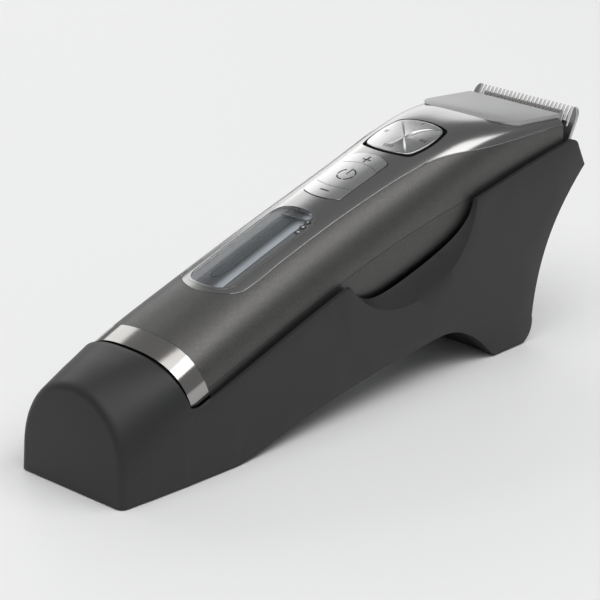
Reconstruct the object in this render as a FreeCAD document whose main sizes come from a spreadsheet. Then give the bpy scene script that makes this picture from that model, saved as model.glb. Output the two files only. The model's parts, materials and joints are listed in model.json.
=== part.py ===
import FreeCAD, Part
import math
import os
import re
import Sketcher

# Cordless hair clipper seated in its charging stand.
# Stand frame: +X from the low nose to the tall end, +Z up, z = 0 at the rubber feet.
# Clipper frame: X along the clipper from tail to blade, Z out of the control panel.
# Blade frame: X out of the comb's skin face, Z along the teeth, origin at the tooth tips.

os.makedirs("parts", exist_ok=True)
doc = FreeCAD.newDocument("HairClipper")
Vec = FreeCAD.Vector

# ---------------------------------------------------------------- driving sizes (mm, degrees)

SIZES = [
    ("stand_length", 209.4, "nose to the tip of the tall end"),
    ("nose_half_width", 21.9, "half width of the stand at its low end face"),
    ("stand_half_width", 24.2, "half width of the stand along its sides"),
    ("nose_height", 32.1, "top of the low end face"),
    ("skirt_height", 0.4, "housing's lower edge above the table"),
    ("wall", 2.2, "wall thickness of the stand housing"),
    ("cover_recess", 0.5, "base cover inside the housing's lower edge"),
    ("cover_thick", 1.6, "base cover thickness"),
    ("bed_wall", 1.8, "floor and sides of the bed that the clipper lies in"),
    ("foot_radius", 4.0, "rubber foot"),
    ("foot_thick", 1.4, "rubber foot"),
    ("tilt", 17.0, "clipper axis above the table"),
    ("ring_start", 34.4, "tail ring's lower edge along the clipper"),
    ("ring_length", 7.6, "tail ring"),
    ("tail_start", 25.4, "end of the tail cap"),
    ("tail_step", 2.1, "tail cap inside the ring's surface"),
    ("shell", 2.0, "wall thickness of the clipper's shells"),
    ("seam_gap", 0.12, "gap between neighbouring shells"),
    ("panel_tail", 63.9, "tail end of the top panel"),
    ("panel_half_width", 12.3, "top panel along the grip"),
    ("window_start", 66.9, "display window, tail end"),
    ("window_end", 111.5, "display window, head end"),
    ("window_half_width", 8.5, "display window"),
    ("bezel_width", 0.8, "bright rim round the display window"),
    ("keys_start", 119.3, "key group, tail end"),
    ("keys_end", 146.7, "key group, head end"),
    ("keys_half_width", 7.5, "key group"),
    ("key_gap", 0.2, "gap round each key"),
    ("key_proud", 0.25, "keys stand above the panel"),
    ("key_travel", 0.5, "key travel"),
    ("pad_center", 161.4, "middle of the length pad"),
    ("pad_half_length", 10.9, "length pad along the clipper"),
    ("pad_half_width", 10.6, "length pad across the clipper"),
    ("pad_gap", 0.95, "dark gap round the length pad"),
    ("plate_rear", 187.3, "rear edge of the head plate"),
    ("plate_front", 214.3, "front edge of the head plate"),
    ("plate_half_width", 19.2, "head plate"),
    ("plate_thick", 1.5, "head plate"),
    ("blade_tip_along", 221.9, "tooth tips along the clipper"),
    ("blade_tip_height", 9.85, "tooth tips above the clipper's axis"),
    ("blade_angle", 45.0, "comb blade to the clipper's axis"),
    ("blade_half_width", 22.0, "comb blade"),
    ("comb_thick", 1.2, "comb blade"),
    ("comb_length", 24.6, "comb blade, heel to tooth tips"),
    ("tooth_pitch", 1.6, "comb and cutter teeth"),
    ("tooth_slot", 0.85, "gap between comb teeth"),
    ("tooth_length", 7.0, "comb teeth"),
    ("comb_teeth", 24, "narrow teeth of the comb blade"),
    ("cutter_teeth", 21, "teeth of the moving cutter"),
    ("cutter_half_width", 16.4, "moving cutter"),
    ("cutter_thick", 1.3, "moving cutter"),
    ("cutter_setback", 2.4, "cutter tips behind the comb tips"),
    ("blade_play", 0.05, "running gap between comb and cutter"),
    ("stroke", 1.5, "cutter travel to each side"),
    ("motor_radius", 9.5, "motor can"),
    ("motor_length", 30.0, "motor can"),
    ("motor_start", 107.0, "rear end of the motor"),
    ("motor_height", 6.6, "motor axis above the clipper's axis"),
    ("shaft_radius", 1.0, "motor shaft and crank pin"),
    ("crank_throw", 1.5, "crank pin off the motor axis"),
    ("lever_pivot", 178.0, "drive lever's pivot along the clipper"),
    ("lever_tip", 206.5, "drive lever's ball end along the clipper"),
    ("lever_tip_height", 4.5, "drive lever's ball end"),
    ("cell_radius", 9.0, "rechargeable cell"),
    ("cell_length", 50.0, "rechargeable cell"),
    ("cell_start", 48.0, "rear end of the cell"),
    ("cell_height", 6.4, "cell axis"),
    ("board_bottom", 20.6, "underside of the main board"),
    ("board_thick", 1.2, "printed boards"),
    ("pin_spread", 5.0, "charging contacts off the middle"),
    ("contact_height", 9.0, "charging contacts above the clipper's axis"),
    ("charge_pin_radius", 1.2, "sprung charging pins"),
    ("inlet_height", 13.0, "supply inlet above the table"),
    ("inlet_radius", 1.8, "supply inlet's bore"),
    ("inlet_depth", 10.0, "supply inlet's bore"),
]

sheet = doc.addObject("Spreadsheet::Sheet", "Sizes")
for row, (alias, value, meaning) in enumerate(SIZES, start=1):
    sheet.set("A%d" % row, alias)
    sheet.set("B%d" % row, str(value))
    sheet.set("C%d" % row, meaning)
    sheet.setAlias("B%d" % row, alias)
doc.recompute()


def size(alias):
    """Value of one named size."""
    return float(sheet.get(alias))


def value_of(term):
    """Number for a term: a number, or words such as 'shell + 2 * key_gap'."""
    if isinstance(term, (int, float)):
        return float(term)
    total = 0.0
    for part in term.replace("- ", "+ -").split("+"):
        product = 1.0
        for factor in part.split("*"):
            word = factor.strip()
            sign = -1.0 if word.startswith("-") else 1.0
            word = word.lstrip("-").strip()
            product *= sign * (float(word) if word[0].isdigit() else size(word))
        total += product
    return total


def expression(term):
    """The same term as a spreadsheet expression, or None for a plain number."""
    if isinstance(term, (int, float)):
        return None
    return re.sub(r"([a-z][a-z_]*)", r"Sizes.\1", term)


# ---------------------------------------------------------------- frames

HALF_LENGTH = size("stand_length") / 2
STAND = FreeCAD.Placement(Vec(-HALF_LENGTH, 0, 0), FreeCAD.Rotation())
TILT = FreeCAD.Placement(Vec(0, 0, 0), FreeCAD.Rotation(Vec(0, 1, 0), -size("tilt")))
CLIPPER = STAND * TILT
BLADE_IN_CLIPPER = FreeCAD.Placement(
    Vec(size("blade_tip_along"), 0, size("blade_tip_height")),
    FreeCAD.Rotation(Vec(0, 1, 0), size("blade_angle")))
BLADE = CLIPPER * BLADE_IN_CLIPPER

pieces = []


def finished(thing, label, place):
    """Name a sub-part, put it in its place and list it for export."""
    thing.Label = label
    thing.Placement = place
    pieces.append(thing)
    return thing


def solid_piece(label, shape, place):
    """A sub-part whose shape is worked out with Part's own functions."""
    feature = doc.addObject("Part::Feature", label)
    feature.Shape = shape
    return finished(feature, label, place)


# ---------------------------------------------------------------- sketch and feature helpers


def bind(thing, prop, term):
    """Set a property, bound to the sheet where the term names a size."""
    setattr(thing, prop, value_of(term))
    if expression(term):
        thing.setExpression(prop, expression(term))


def new_body(label):
    return doc.addObject("PartDesign::Body", label)


def new_sketch(body, role, offset=0):
    """A sketch on one of the body's own origin planes, moved along its normal."""
    sketch = body.newObject("Sketcher::SketchObject", body.Name + "Sketch")
    for feature in body.Origin.OriginFeatures:
        if feature.Role == role:
            sketch.AttachmentSupport = [(feature, "")]
    sketch.MapMode = "FlatFace"
    sketch.AttachmentOffset = FreeCAD.Placement(Vec(0, 0, value_of(offset)), FreeCAD.Rotation())
    if expression(offset):
        sketch.setExpression("AttachmentOffset.Base.z", expression(offset))
    return sketch


def hold(sketch, kind, first, second, term):
    """Hold a point's distance from the origin along one axis, bound to the sheet."""
    value = value_of(term)
    if abs(value) < 1e-9:
        axis = -2 if kind == "DistanceX" else -1
        sketch.addConstraint(Sketcher.Constraint("PointOnObject", first, second, axis))
        return
    ends = (-1, 1, first, second) if value > 0 else (first, second, -1, 1)
    index = sketch.addConstraint(Sketcher.Constraint(kind, *ends, abs(value)))
    if expression(term):
        text = expression(term)
        sketch.setExpression("Constraints[%d]" % index, text if value > 0 else "-(%s)" % text)


def outline(sketch, points):
    """A closed chain of straight lines through points given as terms."""
    corners = [Vec(value_of(px), value_of(py), 0) for px, py in points]
    base = sketch.GeometryCount
    count = len(points)
    for index in range(count):
        start = corners[index]
        end = corners[(index + 1) % count]
        sketch.addGeometry(Part.LineSegment(start, end), False)
    for index in range(count):
        nxt = base + (index + 1) % count
        sketch.addConstraint(Sketcher.Constraint("Coincident", base + index, 2, nxt, 1))
    for index, (px, py) in enumerate(points):
        hold(sketch, "DistanceX", base + index, 1, px)
        hold(sketch, "DistanceY", base + index, 1, py)


def rectangle(sketch, x_low, x_high, y_low, y_high):
    outline(sketch, [(x_low, y_low), (x_high, y_low), (x_high, y_high), (x_low, y_high)])


def circle(sketch, px, py, radius):
    center = Vec(value_of(px), value_of(py), 0)
    index = sketch.addGeometry(Part.Circle(center, Vec(0, 0, 1), value_of(radius)), False)
    number = sketch.addConstraint(Sketcher.Constraint("Radius", index, value_of(radius)))
    if expression(radius):
        sketch.setExpression("Constraints[%d]" % number, expression(radius))
    hold(sketch, "DistanceX", index, 3, px)
    hold(sketch, "DistanceY", index, 3, py)


def pad(body, sketch, length, midplane=False, backwards=False):
    feature = body.newObject("PartDesign::Pad", body.Name + "Pad")
    feature.Profile = sketch
    bind(feature, "Length", length)
    feature.Midplane = midplane
    feature.Reversed = backwards
    doc.recompute()
    return feature


def pocket(body, sketch, length, midplane=False, backwards=False):
    """Cut a sketch out of the body, and make sure that it removes material."""
    before = body.Shape.Volume
    feature = body.newObject("PartDesign::Pocket", body.Name + "Pocket")
    feature.Profile = sketch
    bind(feature, "Length", length)
    feature.Midplane = midplane
    feature.Reversed = backwards
    doc.recompute()
    if body.Shape.Volume >= before - 1e-6:
        raise RuntimeError("pocket of %s removes nothing" % body.Label)
    return feature


def along_x(body, sketch):
    """Turn a half profile drawn in the XZ plane about the X axis."""
    feature = body.newObject("PartDesign::Revolution", body.Name + "Revolution")
    feature.Profile = sketch
    feature.ReferenceAxis = (sketch, ["H_Axis"])
    feature.Angle = 360
    doc.recompute()
    return feature


def row_of(body, feature, sketch, axis, spacing, count):
    """Repeat a cut along a sketch axis."""
    pattern = body.newObject("PartDesign::LinearPattern", body.Name + "Row")
    pattern.Originals = [feature]
    pattern.Direction = (sketch, [axis])
    pattern.Length = value_of(spacing) * (count - 1)
    pattern.Occurrences = count
    body.Tip = pattern
    doc.recompute()
    return pattern


def box(low, high):
    """Box between two corners."""
    return Part.makeBox(high[0] - low[0], high[1] - low[1], high[2] - low[2], Vec(*low))


def rod(radius, length, base, direction):
    return Part.makeCylinder(radius, length, Vec(*base), Vec(*direction))


def moved(shape, place):
    copy = shape.copy()
    copy.Placement = place.multiply(copy.Placement)
    return copy


def slab(edges, half_width):
    """Closed outline in the XZ plane made solid to both sides of y = 0."""
    wire = Part.Wire(Part.sortEdges(edges)[0])
    face = Part.Face(wire)
    face.translate(Vec(0, -half_width, 0))
    return face.extrude(Vec(0, 2 * half_width, 0))


def line(start, end):
    return Part.makeLine(Vec(*start), Vec(*end))


def curve(points):
    """Smooth curve through a few points."""
    spline = Part.BSplineCurve()
    spline.interpolate([Vec(*point) for point in points])
    return spline.toShape()


def chain(points):
    return [line(a, b) for a, b in zip(points, points[1:])]


# ---------------------------------------------------------------- clipper's outer surface

# along, half width, widest height, top, bottom, roundness above, roundness below
STATIONS = [
    (24.0, 21.0, 12.5, 27.6, -2.2, 2.6, 2.5),
    (34.4, 21.6, 12.5, 29.2, -3.4, 2.6, 2.5),
    (60.0, 21.4, 13.0, 30.7, -5.4, 2.5, 2.5),
    (90.0, 21.2, 13.0, 31.3, -7.2, 2.4, 2.5),
    (120.0, 21.1, 12.5, 30.9, -8.2, 2.4, 2.5),
    (140.0, 21.2, 11.8, 30.2, -8.8, 2.5, 2.5),
    (160.0, 21.3, 11.2, 29.0, -9.1, 2.8, 2.6),
    (174.0, 21.4, 11.0, 27.0, -9.3, 3.3, 2.8),
    (187.3, 21.5, 10.5, 22.9, -9.4, 4.2, 3.0),
    (200.0, 21.6, 8.4, 17.3, -9.5, 5.2, 3.2),
    (216.0, 21.7, 4.0, 10.5, -9.6, 5.8, 3.4),
]
SECTION_POINTS = 32


def section(station, grow):
    """Closed rounded section across the clipper, offset outwards by grow."""
    along, half, middle, top, bottom, upper, lower = station
    points = []
    for index in range(SECTION_POINTS):
        angle = 2 * math.pi * (index + 0.5) / SECTION_POINTS - math.pi / 2
        power = upper if math.sin(angle) > 0 else lower
        reach = (top - middle if math.sin(angle) > 0 else middle - bottom) + grow
        across = math.copysign(abs(math.cos(angle)) ** (2 / power), math.cos(angle))
        height = math.copysign(abs(math.sin(angle)) ** (2 / power), math.sin(angle))
        points.append(Vec(along, (half + grow) * across, middle + reach * height))
    spline = Part.BSplineCurve()
    spline.interpolate(Points=points, PeriodicFlag=True)
    return Part.Wire([spline.toShape()])


def envelope(grow=0.0):
    """The clipper's whole body as one solid."""
    return Part.makeLoft([section(station, grow) for station in STATIONS], True, False)


def top_at(along):
    """Height of the crown line at a place along the clipper."""
    for first, second in zip(STATIONS, STATIONS[1:]):
        if first[0] <= along <= second[0]:
            share = (along - first[0]) / (second[0] - first[0])
            return first[3] + share * (second[3] - first[3])
    raise ValueError("outside the clipper")


outer = envelope()
inner = envelope(-size("shell"))
WIDE = 40.0
HIGH = 60.0

# The head ends at a plane square to the table, and below it runs parallel to the comb blade.
sin_tilt = math.sin(math.radians(size("tilt")))
cos_tilt = math.cos(math.radians(size("tilt")))
HEAD_END = 200.2
BLADE_CLEARANCE = 3.0


def upright_point(level):
    """Point on the head's upright end plane at a height in the clipper frame."""
    return ((HEAD_END + level * sin_tilt) / cos_tilt, 0, level)


def blade_point(outward, toward_tips):
    """Clipper-frame point from a blade-frame place."""
    spot = BLADE_IN_CLIPPER.multVec(Vec(outward, 0, toward_tips))
    return (spot.x, 0, spot.z)


def head_corner():
    """Where the upright end plane meets the slope that runs along the blade."""
    start = Vec(*blade_point(-BLADE_CLEARANCE, 0))
    slope = Vec(*blade_point(-BLADE_CLEARANCE, -10)) - start
    top = Vec(*upright_point(20))
    drop = Vec(*upright_point(0)) - top
    across = slope.x * drop.z - slope.z * drop.x
    share = ((top.x - start.x) * drop.z - (top.z - start.z) * drop.x) / across
    spot = start + slope * share
    return (spot.x, 0, spot.z)


def body_side(first):
    """Everything between a place along the clipper and the head's end faces."""
    corners = [(first, 0, -HIGH), (first, 0, HIGH), upright_point(HIGH), head_corner(),
               blade_point(-BLADE_CLEARANCE, -90)]
    return slab(chain(corners + corners[:1]), WIDE)


body_start = size("ring_start") + size("ring_length") + size("seam_gap")
body_room = body_side(body_start)

# ---------------------------------------------------------------- cutting tools for the shells

SEAM = [(20, 0, 15.8), (60, 0, 15.7), (102, 0, 15.1), (135, 0, 13.2), (166, 0, 9.2), (195, 0, 4.6),
        (230, 0, -1.0)]


def below_seam(shift):
    """Everything under the line where the lower shell meets the upper one."""
    edge = curve([(px, 0, pz + shift) for px, _, pz in SEAM])
    sides = chain([(230, 0, -1.0 + shift), (230, 0, -HIGH), (20, 0, -HIGH), (20, 0, 15.8 + shift)])
    return slab([edge] + sides, WIDE)


def plan_solid(edges):
    """Closed outline in the XY plane made solid upwards from inside the body."""
    wire = Part.Wire(Part.sortEdges(edges)[0])
    return Part.Face(wire).extrude(Vec(0, 0, HIGH))


def mirrored_outline(half):
    """Edges of an outline and their mirror image across y = 0."""
    other = [edge.mirror(Vec(0, 0, 0), Vec(0, 1, 0)) for edge in half]
    return half + other


def panel_tool(grow):
    """Region of the top panel: a plan outline on the grip, the shoulders' edge at the head."""
    start = size("panel_tail") - grow
    half = size("panel_half_width") + grow
    corner = 8.0
    tail = curve([(start, 0, 0), (start + 0.8, half - corner, 0), (start + 3.2, half - 3.2, 0),
                  (start + corner, half, 0)])
    side = curve([(start + corner, half, 0), (114, half + 0.1, 0), (136, half + 0.9, 0),
                  (152, half + 2.2, 0)])
    grip = plan_solid(mirrored_outline([tail, side]) + [line((152, half + 2.2, 0), (152, -half - 2.2, 0))])
    shoulder = [(146, 27.3), (152, 26.75), (158, 25.9), (164, 24.55), (170, 22.7), (177, 20.4),
                (184, 18.2), (198, 13.8), (216, 7.4)]
    edge = curve([(px, 0, pz - grow) for px, pz in shoulder])
    first = shoulder[0]
    last = shoulder[-1]
    rest = chain([(last[0], 0, last[1] - grow), (last[0], 0, HIGH), (first[0], 0, HIGH),
                  (first[0], 0, first[1] - grow)])
    head = slab([edge] + rest, WIDE)
    return grip.fuse(head)


def rounded_plan(first, last, half, bow, radius):
    """Plan outline with bowed ends, straight sides and rounded corners, as a solid."""
    corners = [Vec(first, -half, 0), Vec(last, -half, 0), Vec(last, half, 0), Vec(first, half, 0)]
    edges = [line(corners[0], corners[1]),
             Part.Arc(corners[1], Vec(last + bow, 0, 0), corners[2]).toShape(),
             line(corners[2], corners[3]),
             Part.Arc(corners[3], Vec(first - bow, 0, 0), corners[0]).toShape()]
    wire = Part.Wire(edges)
    solid = Part.Face(wire).extrude(Vec(0, 0, HIGH))
    upright = [edge for edge in solid.Edges
               if abs(edge.BoundBox.ZLength - HIGH) < 1e-6]
    return solid.makeFillet(radius, upright) if radius > 0 else solid


def window_tool(grow):
    first = size("window_start") - grow
    last = size("window_end") + grow
    return rounded_plan(first + 2.0, last - 1.6, size("window_half_width") + grow, 1.8, 5.0 + grow)


KEY_BOW = 2.1
KEY_CORNER = 1.2


def key_group(grow):
    """Plan solid of the three keys together."""
    return rounded_plan(size("keys_start") + KEY_BOW - grow, size("keys_end") - KEY_BOW + grow,
                        size("keys_half_width") + grow, KEY_BOW, KEY_CORNER)


def key_tools():
    """Plan solids of the minus, power and plus keys."""
    low_cut = size("keys_start") + 7.7
    high_cut = size("keys_end") - 7.0
    gap = size("key_gap") / 2

    def lens(grow):
        return rounded_plan(low_cut + KEY_BOW - grow, high_cut - KEY_BOW + grow,
                            size("keys_half_width") + 3, KEY_BOW * 1.5, 0)

    whole = key_group(0)
    power = whole.common(lens(-gap))
    rest = whole.cut(lens(gap))
    middle = (low_cut + high_cut) / 2
    minus = rest.common(box((size("keys_start") - 5, -WIDE, 0), (middle, WIDE, HIGH)))
    plus = rest.common(box((middle, -WIDE, 0), (size("keys_end") + 5, WIDE, HIGH)))
    return minus, power, plus


def pad_tool(grow):
    """Plan solid of the length pad: a square with bowed sides."""
    middle = size("pad_center")
    long = size("pad_half_length") + grow
    wide = size("pad_half_width") + grow
    bow = 2.2
    side_bow = 1.5
    corners = [Vec(middle - long + bow, -wide + side_bow, 0), Vec(middle + long - bow, -wide + side_bow, 0),
               Vec(middle + long - bow, wide - side_bow, 0), Vec(middle - long + bow, wide - side_bow, 0)]
    tops = [Vec(middle, -wide, 0), Vec(middle + long, 0, 0), Vec(middle, wide, 0), Vec(middle - long, 0, 0)]
    edges = [Part.Arc(corners[index], tops[index], corners[(index + 1) % 4]).toShape()
             for index in range(4)]
    solid = Part.Face(Part.Wire(edges)).extrude(Vec(0, 0, HIGH))
    upright = [edge for edge in solid.Edges if abs(edge.BoundBox.ZLength - HIGH) < 1e-6]
    return solid.makeFillet(2.0 + grow, upright)


def plate_tool(grow):
    """Plan solid of the head plate, rounded at its rear corners."""
    first = size("plate_rear") - grow
    last = size("plate_front") + grow
    half = size("plate_half_width") + grow
    solid = box((first, -half, 0), (last, half, HIGH))
    rear = [edge for edge in solid.Edges
            if abs(edge.BoundBox.ZLength - HIGH) < 1e-6 and edge.BoundBox.XMax < first + 1]
    return solid.makeFillet(8.0, rear)


# ---------------------------------------------------------------- clipper: shells and panel

# room in which the heels of the blade holder and the comb swing about the hinge
HINGE_OUT = -4.5
HINGE_LEVEL = -23.0
HOLDER_SWING = 3.9
COMB_SWING = 5.1
holder_swing = rod(HOLDER_SWING, 38.8, (HINGE_OUT, -19.4, HINGE_LEVEL), (0, 1, 0))
comb_swing = rod(COMB_SWING, 44.8, (HINGE_OUT, -22.4, HINGE_LEVEL), (0, 1, 0)).common(
    box((-3.6, -WIDE, -WIDE), (5, WIDE, HINGE_LEVEL)))
heel_room = moved(holder_swing.fuse(comb_swing), BLADE_IN_CLIPPER)

skin = outer.cut(inner)
gap = size("seam_gap")
panel_room = panel_tool(gap)

upper_shell = skin.common(body_room).cut(below_seam(gap / 2)).cut(panel_room)
solid_piece("upper_shell", upper_shell, CLIPPER)

lower_shell = skin.common(body_room).common(below_seam(-gap / 2)).cut(panel_room).cut(heel_room)
solid_piece("lower_shell", lower_shell, CLIPPER)

# head plate: a flat satin plate let into the head's slope, a little proud of the panel
PLATE_PROUD = 0.25
PLATE_DROP = 11.3
plate_angle = math.degrees(math.atan2(PLATE_DROP, size("plate_front") - size("plate_rear")))
plate_surface = FreeCAD.Placement(
    Vec(size("plate_front"), 0, top_at(size("plate_front")) + PLATE_PROUD),
    FreeCAD.Rotation(Vec(0, 1, 0), plate_angle))
plate_slab = moved(box((-60, -WIDE, -size("plate_thick")), (10, WIDE, 0)), plate_surface)
plate_room = moved(box((-60, -WIDE, -size("plate_thick")), (10, WIDE, 20)), plate_surface)
head_plate = plate_slab.common(plate_tool(0))
solid_piece("head_plate", head_plate, CLIPPER)

key_minus, key_power, key_plus = key_tools()
panel = skin.common(body_room).common(panel_tool(0))
panel = panel.cut(window_tool(size("bezel_width"))).cut(key_group(size("key_gap")))
panel = panel.cut(pad_tool(size("pad_gap"))).cut(plate_room.common(plate_tool(0.05)))
solid_piece("top_panel", panel, CLIPPER)

# display: bright rim, smoked lens and the module under it
window_skin = envelope(0.15).cut(envelope(-1.6))
bezel = window_skin.common(window_tool(size("bezel_width") - 0.03).cut(window_tool(0)))
solid_piece("window_bezel", bezel, CLIPPER)
lens = skin.common(window_tool(-0.03))
solid_piece("display_window", lens, CLIPPER)

# keys: caps flush with the panel, each with a stem down to its switch
BOARD_TOP = size("board_bottom") + size("board_thick")
SWITCH_HEIGHT = 1.6
SWITCH_GAP = 0.15
key_skin = envelope(size("key_proud")).cut(envelope(-size("shell") - 0.2))
STEM_RADIUS = 1.5


def key_cap(tool, spot):
    """A key's cap with a stem that ends just above its switch at rest."""
    low = BOARD_TOP + SWITCH_HEIGHT + size("key_travel") + SWITCH_GAP
    stem = rod(STEM_RADIUS, top_at(spot) - 1.0 - low, (spot, 0, low), (0, 0, 1))
    return key_skin.common(tool).fuse(stem)


KEY_SPOTS = {"minus_key": 123.0, "power_key": 133.2, "plus_key": 143.2}
for label, tool in (("minus_key", key_minus), ("power_key", key_power), ("plus_key", key_plus)):
    solid_piece(label, key_cap(tool, KEY_SPOTS[label]), CLIPPER)

# length pad: rocks on a gimbal, four stubs under its sides reach the switches
pad_cap = key_skin.common(pad_tool(0))
PAD_REACH = 6.0
pad_low = BOARD_TOP + SWITCH_HEIGHT + size("key_travel") + SWITCH_GAP
pad_spots = [(PAD_REACH, 0), (0, PAD_REACH), (-PAD_REACH, 0), (0, -PAD_REACH)]
for along, across in pad_spots:
    spot = size("pad_center") + along
    stub = rod(1.0, top_at(spot) - 1.2 - pad_low, (spot, across, pad_low), (0, 0, 1))
    pad_cap = pad_cap.fuse(stub)
solid_piece("length_pad", pad_cap, CLIPPER)

# ---------------------------------------------------------------- clipper: tail

ring_room = box((size("ring_start"), -WIDE, -HIGH),
                (size("ring_start") + size("ring_length"), WIDE, HIGH))
tail_inset = -size("tail_step")
ring = envelope(0.1).cut(envelope(-1.5)).common(ring_room)
solid_piece("tail_ring", ring, CLIPPER)

tail_outer = envelope(tail_inset)
tail_inner = envelope(tail_inset - 1.8)
tail_end = size("tail_start")
cap_room = box((tail_end, -WIDE, -HIGH), (size("ring_start") + 6.0, WIDE, HIGH))
tail_hollow = tail_inner.common(box((tail_end + 2.0, -WIDE, -HIGH), (80, WIDE, HIGH)))
tail_cap = tail_outer.common(cap_room).cut(tail_hollow)
rim_edges = [edge for edge in tail_cap.Edges
             if edge.BoundBox.XMax < tail_end + 0.01 and edge.Length > 60]
tail_cap = tail_cap.makeFillet(1.4, rim_edges)
CONTACT_SIZE = 2.4
contact_rods = [rod(CONTACT_SIZE, 3.0, (tail_end - 0.5, side * size("pin_spread"),
                                        size("contact_height")), (1, 0, 0)) for side in (-1, 1)]
solid_piece("tail_cap", tail_cap.cut(contact_rods[0]).cut(contact_rods[1]), CLIPPER)

# ---------------------------------------------------------------- clipper: what the shells hold

# charging contacts in the tail cap
contact_discs = []
for side in (-1, 1):
    disc = doc.addObject("Part::Cylinder", "ContactDisc")
    disc.Radius = CONTACT_SIZE - 0.05
    disc.Height = 2.6
    disc.Placement = FreeCAD.Placement(
        Vec(tail_end + 0.1, side * size("pin_spread"), size("contact_height")),
        FreeCAD.Rotation(Vec(0, 1, 0), 90))
    contact_discs.append(disc)
contacts = doc.addObject("Part::Compound", "tail_contacts")
contacts.Links = contact_discs
finished(contacts, "tail_contacts", CLIPPER)

# rechargeable cell with its raised pole
cell = new_body("cell")
cell_profile = new_sketch(cell, "XZ_Plane")
outline(cell_profile, [(0, 0), (0, "cell_radius"), ("cell_length", "cell_radius"), ("cell_length", 2.6),
                       ("cell_length + 1.2", 2.6), ("cell_length + 1.2", 0)])
along_x(cell, cell_profile)
cell_place = FreeCAD.Placement(Vec(size("cell_start"), 0, size("cell_height")), FreeCAD.Rotation())
finished(cell, "battery_cell", CLIPPER * cell_place)

# saddle that carries the cell
saddle = box((size("cell_start"), -11.5, -8.0), (size("cell_start") + size("cell_length"), 11.5, 5.0))
saddle = saddle.common(envelope(-size("shell") - 0.3))
saddle = saddle.cut(rod(size("cell_radius") + 0.1, size("cell_length") + 2,
                        (size("cell_start") - 1, 0, size("cell_height")), (1, 0, 0)))
solid_piece("cell_saddle", saddle, CLIPPER)

# main board with its notch behind the lever
board = new_body("board")
board_plan = new_sketch(board, "XY_Plane")
outline(board_plan, [(64, -13.5), (176, -13.5), (176, 13.5), (64, 13.5)])
pad(board, board_plan, "board_thick")
board_holes = new_sketch(board, "XY_Plane")
BOARD_SCREWS = [(68, -11), (68, 11), (148, -11.5), (148, 11.5)]
for px, py in BOARD_SCREWS:
    circle(board_holes, px, py, 1.1)
pocket(board, board_holes, 5, backwards=True)
finished(board, "main_board",
         CLIPPER * FreeCAD.Placement(Vec(0, 0, size("board_bottom")), FreeCAD.Rotation()))

# frame that holds the board and the cell inside the shells
frame_plate = box((60, -17.2, size("board_bottom") - 2.2), (176, 17.2, size("board_bottom") - 0.6))
frame_window = box((104, -11, 0), (170, 11, HIGH))
frame_holes = [rod(0.9, 8, (px, py, size("board_bottom") - 4), (0, 0, 1)) for px, py in BOARD_SCREWS]
frame_posts = [rod(2.2, 1.6, (px, py, size("board_bottom") - 1.6), (0, 0, 1)) for px, py in BOARD_SCREWS]
inner_frame = frame_plate.common(envelope(-size("shell") - 0.3)).cut(frame_window)
inner_frame = inner_frame.multiFuse(frame_posts).cut(frame_holes[0])
for hole in frame_holes[1:]:
    inner_frame = inner_frame.cut(hole)
solid_piece("inner_frame", inner_frame, CLIPPER)

# board screws
board_screws = Part.makeCompound(
    [rod(1.8, 0.9, (px, py, BOARD_TOP + 0.02), (0, 0, 1)).fuse(
        rod(0.85, 4.2, (px, py, BOARD_TOP - 4.1), (0, 0, 1))) for px, py in BOARD_SCREWS])
solid_piece("board_screws", board_screws, CLIPPER)

# switches under the three keys and the pad
switch_spots = [(spot, 0) for spot in KEY_SPOTS.values()]
switch_spots += [(size("pad_center") + along, across) for along, across in pad_spots]
SWITCH_HALF = 1.7
switches = []
for px, py in switch_spots:
    block = box((px - SWITCH_HALF, py - SWITCH_HALF, BOARD_TOP),
                (px + SWITCH_HALF, py + SWITCH_HALF, BOARD_TOP + 1.0))
    switches.append(block.fuse(rod(0.9, SWITCH_HEIGHT - 1.0, (px, py, BOARD_TOP + 1.0), (0, 0, 1))))
solid_piece("key_switches", Part.makeCompound(switches), CLIPPER)

# gimbal under the length pad
gimbal_low = BOARD_TOP + 0.3
gimbal = rod(2.2, 1.4, (size("pad_center"), 0, gimbal_low), (0, 0, 1))
gimbal_post = rod(1.2, 2.6, (size("pad_center"), 0, gimbal_low + 1.4), (0, 0, 1))
solid_piece("pad_gimbal", gimbal.fuse(gimbal_post), CLIPPER)

# display module under the lens
module = new_body("module")
module_plan = new_sketch(module, "XY_Plane")
rectangle(module_plan, "window_start + 4", "window_end - 5", "window_half_width * -1 + 1.4",
          "window_half_width - 1.4")
pad(module, module_plan, 3.2)
finished(module, "display_module",
         CLIPPER * FreeCAD.Placement(Vec(0, 0, BOARD_TOP + 0.1), FreeCAD.Rotation()))

# motor: can with a front boss
motor = new_body("motor")
motor_profile = new_sketch(motor, "XZ_Plane")
outline(motor_profile, [(0, 0), (0, 3.0), (1.5, 3.0), (1.5, "motor_radius"),
                        ("motor_length", "motor_radius"), ("motor_length", 3.0),
                        ("motor_length + 1.6", 3.0), ("motor_length + 1.6", 0)])
along_x(motor, motor_profile)
motor_front = size("motor_start") + size("motor_length")
motor_axis = size("motor_height")
shaft_bore = new_sketch(motor, "YZ_Plane")
circle(shaft_bore, 0, 0, "shaft_radius + 0.05")
pocket(motor, shaft_bore, "motor_length + 5", backwards=True)
finished(motor, "motor",
         CLIPPER * FreeCAD.Placement(Vec(size("motor_start"), 0, motor_axis), FreeCAD.Rotation()))

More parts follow.
